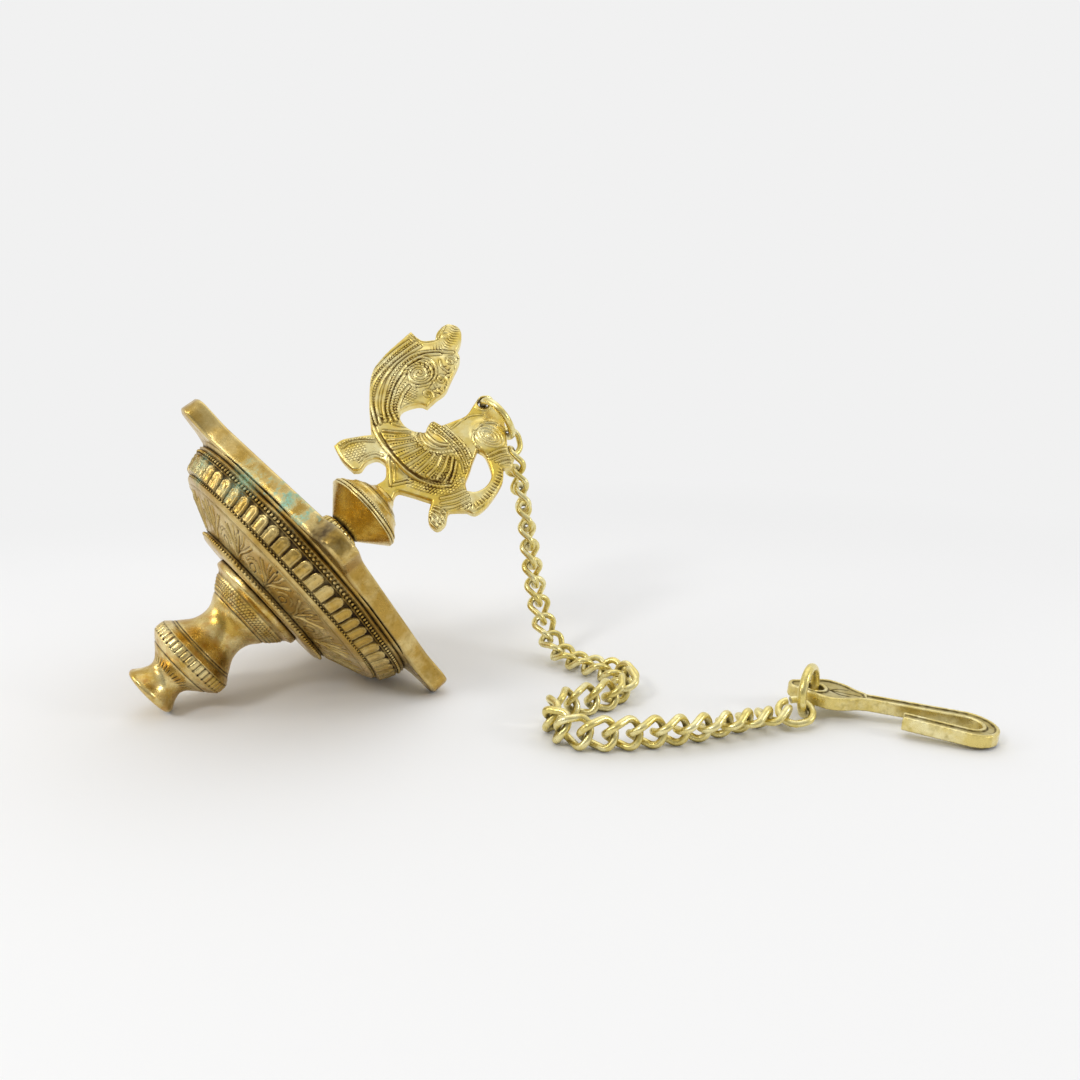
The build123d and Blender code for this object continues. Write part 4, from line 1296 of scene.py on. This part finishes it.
    def wing(self, drawn: Relief) -> None:
        """Fanned wing feathers, shoulder crescent and small upper feathers."""
        shafts = [
            [(-7.1, 22.6), (-10, 19.7), (-14.3, 16.1)], [(-4.3, 21.5), (-7.1, 17.6), (-10.2, 14.4)],
            [(-1.4, 20.8), (-3.2, 17.6), (-5.6, 13.2)], [(1.4, 20.8), (0.4, 16.9), (-0.9, 12.5)],
            [(4.3, 21.5), (3.9, 16.9), (3.2, 12.2)], [(6.8, 22.6), (7.5, 18.3), (7.5, 13.2)],
            [(8.9, 24), (10.7, 19.7), (11.1, 14.8)], [(10.7, 25.8), (13.2, 21.1), (14.3, 16.4)],
            [(12.1, 26.9), (15.4, 22.6), (16.8, 18.2)], [(14.3, 26.5), (17.1, 22.6), (18.7, 19.3)],
        ]
        drawn.cords(0.5, 0.62, *shafts)
        for left, right in zip(shafts, shafts[1:]):
            middle = [((a[0] + b[0]) / 2, (a[1] + b[1]) / 2) for a, b in zip(left, right)]
            drawn.barbs(1.05, 0.95, 0.26, 0.9, middle)
            drawn.grooves(0.26, 0.22, middle)
        for feather in range(6):
            x, y = -8.4 - 1.25 * feather, 24.6 - 0.25 * feather
            drawn.cords(0.4, 0.4, [(x, y), (x - 3.0, y - 2.3), (x - 6.2, y - 4.2)])
        drawn.beads(1.1, 0.55, 0.5, [(-5.4, 25.2), (-3.4, 22.7), (0.2, 21.7), (3.9, 22.0), (7.2, 24.0),
                                     (9.6, 27.4), (10.6, 29.4)])
        drawn.cords(0.45, 0.5, [(-5.0, 26.4), (-2.4, 24.2), (1.0, 23.4), (4.4, 24.0), (7.0, 26.4),
                                (8.6, 29.2)])
        drawn.cords(0.7, 0.55, [(-4.6, 27.4), (0, 26.2), (4.3, 26.6), (7.6, 29.0)])
        drawn.cords(0.6, 0.65, [(-19.1, 14.9), (-14.2, 13.0), (-10, 11.9), (-3.6, 10.9), (1.0, 10.5),
                                (5.7, 10.6), (11.4, 12.2), (16.4, 14.9), (19.6, 18.6)])
        drawn.grooves(0.6, 0.5, [(-14.3, 14.6), (-5.6, 12.3), (1.0, 11.6), (6.6, 12.0), (12, 14.0),
                                 (16.6, 17.2)])

    def head(self, drawn: Relief) -> None:
        """Eye, brow, cross-banded beak and the crest's rim."""
        drawn.ring((14.7, 43.4), (4.6, 2.7), 8, 0.42, 0.42)
        drawn.ring((14.9, 43.3), (3.2, 1.75), 8, 0.38, 0.45)
        drawn.dome((15.0, 43.2), (1.7, 1.0), 8, 0.55)
        drawn.ring((14.7, 43.4), (6.0, 3.9), 10, 0.4, 0.34)
        drawn.cords(0.4, 0.4, [(9.4, 41.4), (9.6, 45.8), (12.6, 49.0), (18.0, 49.0), (21.4, 46.0)],
                    [(9.2, 40.6), (12.0, 37.8), (16.0, 36.9)])
        for x in (20.4, 22.2, 24.4, 26.2):
            lift = x - 20
            drawn.cords(0.45, 0.5, [(x - 0.4, 36.6 + 0.25 * lift), (x + 0.9, 41.0),
                                    (x + 2.4, 44.6 - 0.4 * lift)])
        drawn.ring((2.4, 52.3), (3.6, 3.6), 0, 0.7, 0.35)

    def neck(self, drawn: Relief) -> None:
        """Beaded bands round the neck, and the line up to the crest."""
        drawn.cords(
            0.42, 0.48,
            [(-2.6, 33.6), (0.5, 34.2), (7.1, 34.3), (12.9, 33.6), (16.4, 32.2)],
            [(-4.3, 31.4), (0, 31.9), (7, 31.9), (12.9, 31.1), (18.2, 29)],
            [(-4.0, 29.2), (2, 30), (8, 29.7), (14.3, 28.3), (19.2, 26)],
        )
        drawn.beads(
            1.2, 0.5, 0.42,
            [(-1.6, 32.8), (3, 33.1), (8, 33.1), (13, 32.4), (17.2, 30.6)],
            [(-2.0, 30.6), (3, 30.9), (8, 30.8), (13.5, 29.8), (18.6, 27.6)],
        )
        drawn.cords(0.35, 0.25, [(2.4, 35.4), (2.6, 40.0), (3.4, 44.4), (6.4, 48.2)])
        drawn.grain((-3.0, 31.6), (1.9, 2.6), 0, 0.95, 0.28)

    def vine(self, drawn: Relief) -> None:
        """The strand from the beak to the chest, and the chest's curled lobe."""
        drawn.barbs(1.3, 1.5, 0.5, 0.0, [(27.6, 37.4), (30.2, 32.4), (31.6, 26.0), (31.6, 20.4),
                                         (29.6, 17.0)])
        drawn.cords(0.4, 0.35, [(29.8, 36.4), (32.0, 31.2), (33.3, 24.6), (32.9, 19.4)])
        for shift in (0.0, 2.1, 4.2, 6.2):
            drawn.cords(0.48, 0.5, [(24.9 + 0.8 * shift, 21.7 - 0.5 * shift),
                                    (23.2 + 0.85 * shift, 16.9 - 0.6 * shift),
                                    (20.8 + 0.75 * shift, 12.4 - 0.55 * shift)])
        for level in range(5):
            drop = 1.7 * level
            drawn.cords(0.42, 0.42, [(21.6 + 0.5 * level, 8.6 - 0.7 * drop), (25.2, 9.8 - drop),
                                     (28.8, 8.4 - 0.8 * drop)])

    def lower(self, drawn: Relief) -> None:
        """Belly scales, the V over the spigot and the flourish under the tail."""
        drawn.grain((17.6, 17.8), (4.6, 8.2), -28, 1.15, 0.36)
        drawn.grain((12.4, 10.6), (6.8, 2.2), 26, 1.1, 0.28)
        drawn.cords(0.5, 0.42, [(-4.3, 9.7), (0.6, 5.9), (4.3, 2.9)], [(8.4, 9.4), (6.4, 6.4), (4.5, 2.9)])
        drawn.cords(0.36, 0.3, [(-1.0, 9.4), (2.0, 7.0), (4.2, 5.2), (5.6, 7.2), (6.4, 9.2)])
        drawn.beads(1.0, 0.46, 0.4, [(-20.9, 0.8), (-20.2, 4.0), (-17.8, 7.8), (-14.6, 10.8)])
        drawn.cords(0.42, 0.45, [(-19.4, 0.2), (-18.9, 3.8), (-16.6, 7.4), (-13.2, 10.6)])
        drawn.cords(0.42, 0.4, [(-10.8, 1.0), (-11.0, 4.0), (-9.4, 7.6), (-6.4, 9.0)])
        drawn.grain((-14.8, 2.8), (3.6, 4.8), 0, 1.1, 0.22)


@dataclass
class JHook(Casting):
    """The flat J hook: a pierced leaf, a shank and a bend, with a raised border on its top."""

    hole_radius: float = 3.0
    bar_width: float = 4.7
    bend_radius: float = 6.4
    shank_drop: float = 0.9
    leaf_start: float = -8.4
    leaf_end: float = 16.8
    shank_end: float = 44.7
    arm_turn: float = 190.0
    arm_length: float = 18.0
    border: float = 0.95
    recess: float = 0.55

    def centre_line(self) -> np.ndarray:
        """The bar's middle line, from the leaf round the bend to the arm's end."""
        drop = -self.shank_drop
        shank = smooth_path([(self.leaf_end - 1, drop), (self.shank_end, drop)], 0.5)
        turn = np.radians(np.linspace(0, self.arm_turn, 60))
        bend = np.c_[self.shank_end + self.bend_radius * np.sin(turn),
                     drop - self.bend_radius * (1 - np.cos(turn))]
        way = np.array((math.cos(-turn[-1]), math.sin(-turn[-1])))
        arm = bend[-1] + way * np.linspace(0, self.arm_length, 30)[1:, None]
        return np.vstack([shank, bend[1:], arm])

    def edge(self) -> Field:
        """The hook's outline as a distance field."""
        drop, half = self.shank_drop, self.bar_width / 2
        upper = [(self.leaf_start, 0), (-7.6, 2.4), (-4.2, 4.2), (-0.6, 6.3), (4.6, 8.3), (9.6, 6.6),
                 (13.4, 3.4), (self.leaf_end, half - drop)]
        lower = [(self.leaf_end, -half - drop), (13.4, -4.2), (9.6, -6.4), (4.6, -7.7), (-0.6, -6.0),
                 (-4.2, -4.2), (-7.6, -2.4), (self.leaf_start, 0)]
        leaf = outline_distance([np.vstack([smooth_path(side, 0.75)[:-1] for side in (upper, lower)])])
        line = self.centre_line()
        slopes = np.gradient(line, axis=0)
        slopes /= np.linalg.norm(slopes, axis=1)[:, None]

        def distance(points: np.ndarray) -> np.ndarray:
            """Distance outside the hook, negative inside it."""
            gap = points[:, None] - line
            nearest = (gap**2).sum(2).argmin(1)
            way, to = slopes[nearest], gap[np.arange(len(gap)), nearest]
            ahead = (to * way).sum(1)
            side = np.abs(to[:, 0] * way[:, 1] - to[:, 1] * way[:, 0])
            # Past the bar's ends the distance runs along it
            past = np.where(nearest == len(line) - 1, ahead, np.where(nearest == 0, -ahead, -1e3))
            eye = self.hole_radius - np.hypot(points[:, 0], points[:, 1])
            return np.maximum(np.minimum(leaf(points), np.maximum(side - half, past)), eye)

        return distance

    def draw(self, places: np.ndarray, depth: np.ndarray) -> Relief:
        """Sinks the field inside the raised border and chases veins in the leaf."""
        drawn = Relief(places)
        sunk = np.clip((depth - self.border) / 0.35, 0, 1)
        drawn.height -= self.recess * sunk
        drawn.tone -= 0.35 * sunk
        drawn.tone -= 0.8 * bump(depth - self.border - 0.3, 0.4)
        drawn.tone += 0.5 * bump(depth - 0.5, 0.5)
        drawn.grooves(0.4, 0.22, [(4.8, 0), (7.6, -2.2), (10.4, -2.6)], [(4.8, 0), (7.6, 2.2), (10.4, 2.6)],
                      [(4.6, 0), (9.0, -0.3), (14.0, -0.8)])
        return drawn


# The chain


def chain_nodes(names: Iterable[str]) -> list[str]:
    """The rings and links among the solids' names, in order."""
    ends = ("top_ring", "top_link", "end_link", "end_ring")
    return sorted(name for name in names if name.startswith("link_") or name in ends)


def build_chain() -> None:
    """Makes each ring's and link's wire a smooth copy of its solid, dressed as drawn brass."""
    names = chain_nodes(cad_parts)
    for name in names:
        mesh = bmesh.new()
        mesh.from_mesh(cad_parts[name].data)
        bmesh.ops.remove_doubles(mesh, verts=mesh.verts, dist=1e-6)
        for face in mesh.faces:
            face.smooth = True
        sharpen(mesh, 50)
        piece = placed(f"{name}_wire", mesh, None, name)
        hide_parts(name)
        dress(piece, Finish.CHAIN)
    log.info("chain: %d loops of wire", len(names))


# Studio


@dataclass
class Studio:
    """A plain pale floor, soft light from above and the camera of the photograph.

    The tent is the world's light: it brightens from behind the camera to the back, and upwards.
    Lamps are named with their place and width in metres and their power in watts.
    """

    background: str = "#F1F1F1"
    floor_colour: str = "#F4F4F4"
    camera_place: Spot = (-3.96, -275.74, 115.13)
    camera_tilt: float = 13.01
    camera_pan: float = 0.29
    lens: float = 26.67
    floor_size: float = 6.0
    floor_fade: Point = (0.2, 0.5)
    tent_back: tuple[float, float, float, float] = (-0.9, 0.2, 0.15, 0.86)
    tent_top: tuple[float, float, float, float] = (0.1, 0.8, 0.0, 0.66)
    background_in_metal: float = 0.22
    softboxes: tuple[tuple[str, Spot, float, float], ...] = (
        ("top_softbox", (0.1, 0.25, 0.9), 0.9, 1.36),
        ("key_softbox", (-0.55, -0.5, 0.65), 0.2, 1.7),
        ("left_softbox", (-0.75, -0.12, 0.3), 0.22, 0.75),
        ("side_softbox", (0.7, -0.25, 0.35), 0.16, 0.85),
    )
    lit_place: Spot = (0, 0, 0.03)

    def build(self) -> None:
        """Makes the floor, the world, the lamps and the camera."""
        self.floor()
        self.world()
        self.lamps()
        self.camera()

    def floor(self) -> None:
        """A large pale sheet that runs into the background away from the object."""
        mesh = bmesh.new()
        bmesh.ops.create_grid(mesh, x_segments=8, y_segments=8, size=self.floor_size / 2)
        sheet = linked("floor", mesh)
        made = bpy.data.materials.new("pale_floor")
        tree = emptied(made)
        place = add_node(tree, "ShaderNodeTexCoord").outputs["Object"]
        reach = add_node(tree, "ShaderNodeVectorMath", {"operation": "LENGTH", 0: place})
        far = ranged(tree, reach.outputs["Value"], *self.floor_fade, smooth=True)
        matt = add_node(tree, "ShaderNodeBsdfDiffuse", {"Color": linear(self.floor_colour)})
        glow = add_node(tree, "ShaderNodeEmission", {"Color": linear(self.background)})
        add_node(tree, "ShaderNodeOutputMaterial", {"Surface": mixed(tree, far, matt, glow)})
        sheet.data.materials.append(made)

    def world(self) -> None:
        """A soft room: the background colour for what is seen, and a graded tent for light."""
        world = bpy.data.worlds.new("studio")
        bpy.context.scene.world = world
        tree = emptied(world)
        way = add_node(tree, "ShaderNodeTexCoord").outputs["Generated"]
        parts = add_node(tree, "ShaderNodeSeparateXYZ", {0: way}).outputs
        back = ranged(tree, parts["Y"], *self.tent_back)
        top = ranged(tree, parts["Z"], *self.tent_top)
        strength = maths(tree, "MAXIMUM", back, top)
        tent = add_node(tree, "ShaderNodeBackground", {"Color": (1, 1, 1, 1), "Strength": strength})
        seen = add_node(tree, "ShaderNodeBackground", {"Color": linear(self.background), "Strength": 1.0})
        ray = add_node(tree, "ShaderNodeLightPath").outputs
        shiny = maths(tree, "MULTIPLY", ray["Is Glossy Ray"], self.background_in_metal)
        direct = maths(tree, "MAXIMUM", ray["Is Camera Ray"], ray["Is Transmission Ray"])
        shown = maths(tree, "MAXIMUM", direct, shiny)
        add_node(tree, "ShaderNodeOutputWorld", {"Surface": mixed(tree, shown, tent, seen)})

    def lamps(self) -> None:
        """A broad softbox above and behind, a key at the upper left, and one at each side."""
        for name, place, size, power in self.softboxes:
            light = bpy.data.lights.new(name, "AREA")
            light.shape = "SQUARE"
            light.size = size
            light.energy = power
            holder = bpy.data.objects.new(name, light)
            bpy.context.scene.collection.objects.link(holder)
            holder.location = place
            way = Vector(self.lit_place) - holder.location
            holder.rotation_euler = way.to_track_quat("-Z", "Y").to_euler()

    def camera(self) -> None:
        """The photograph's camera."""
        data = bpy.data.cameras.new("photo_camera")
        data.sensor_width = 36.0
        data.lens = self.lens
        data.clip_start = 0.01
        data.clip_end = 20.0
        camera = bpy.data.objects.new("photo_camera", data)
        bpy.context.scene.collection.objects.link(camera)
        camera.location = Vector(self.camera_place) * METRES
        camera.rotation_euler = (math.radians(90 - self.camera_tilt), 0, math.radians(-self.camera_pan))
        bpy.context.scene.camera = camera
        bpy.context.scene.view_settings.view_transform = "Standard"


def main() -> None:
    """Builds the lamp's looks in order."""
    Studio().build()
    Bowl().build()
    Drop().build()
    Post().build()
    Peacock(
        "peacock_casting", "bird", "lamp", BIRD, Finish.BIRD, BIRD_THICKNESS, low=(-46.5, -3.0),
        high=(31.0, 72.0), spacing=0.31, edge_round=1.1, back_share=0.8, plain_spot=(10.5, 49.8),
    ).build()
    # The hook's solid stands on its own plane, and the casting is centred on its thickness
    JHook(
        "hook_casting", "hook", "hook", HOOK.raised(HOOK_THICKNESS / 2), Finish.HOOK, HOOK_THICKNESS,
        low=(-9.2, -17.5), high=(54.5, 9.2), spacing=0.33, edge_round=0.5, back_share=0.25,
    ).build()
    build_chain()
    for name in ("centre_stud", "upper_stud"):
        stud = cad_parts[name]
        stud.data.materials.clear()
        stud.data.materials.append(MATERIALS[Finish.DROP])


if __name__ == "__main__":
    main()
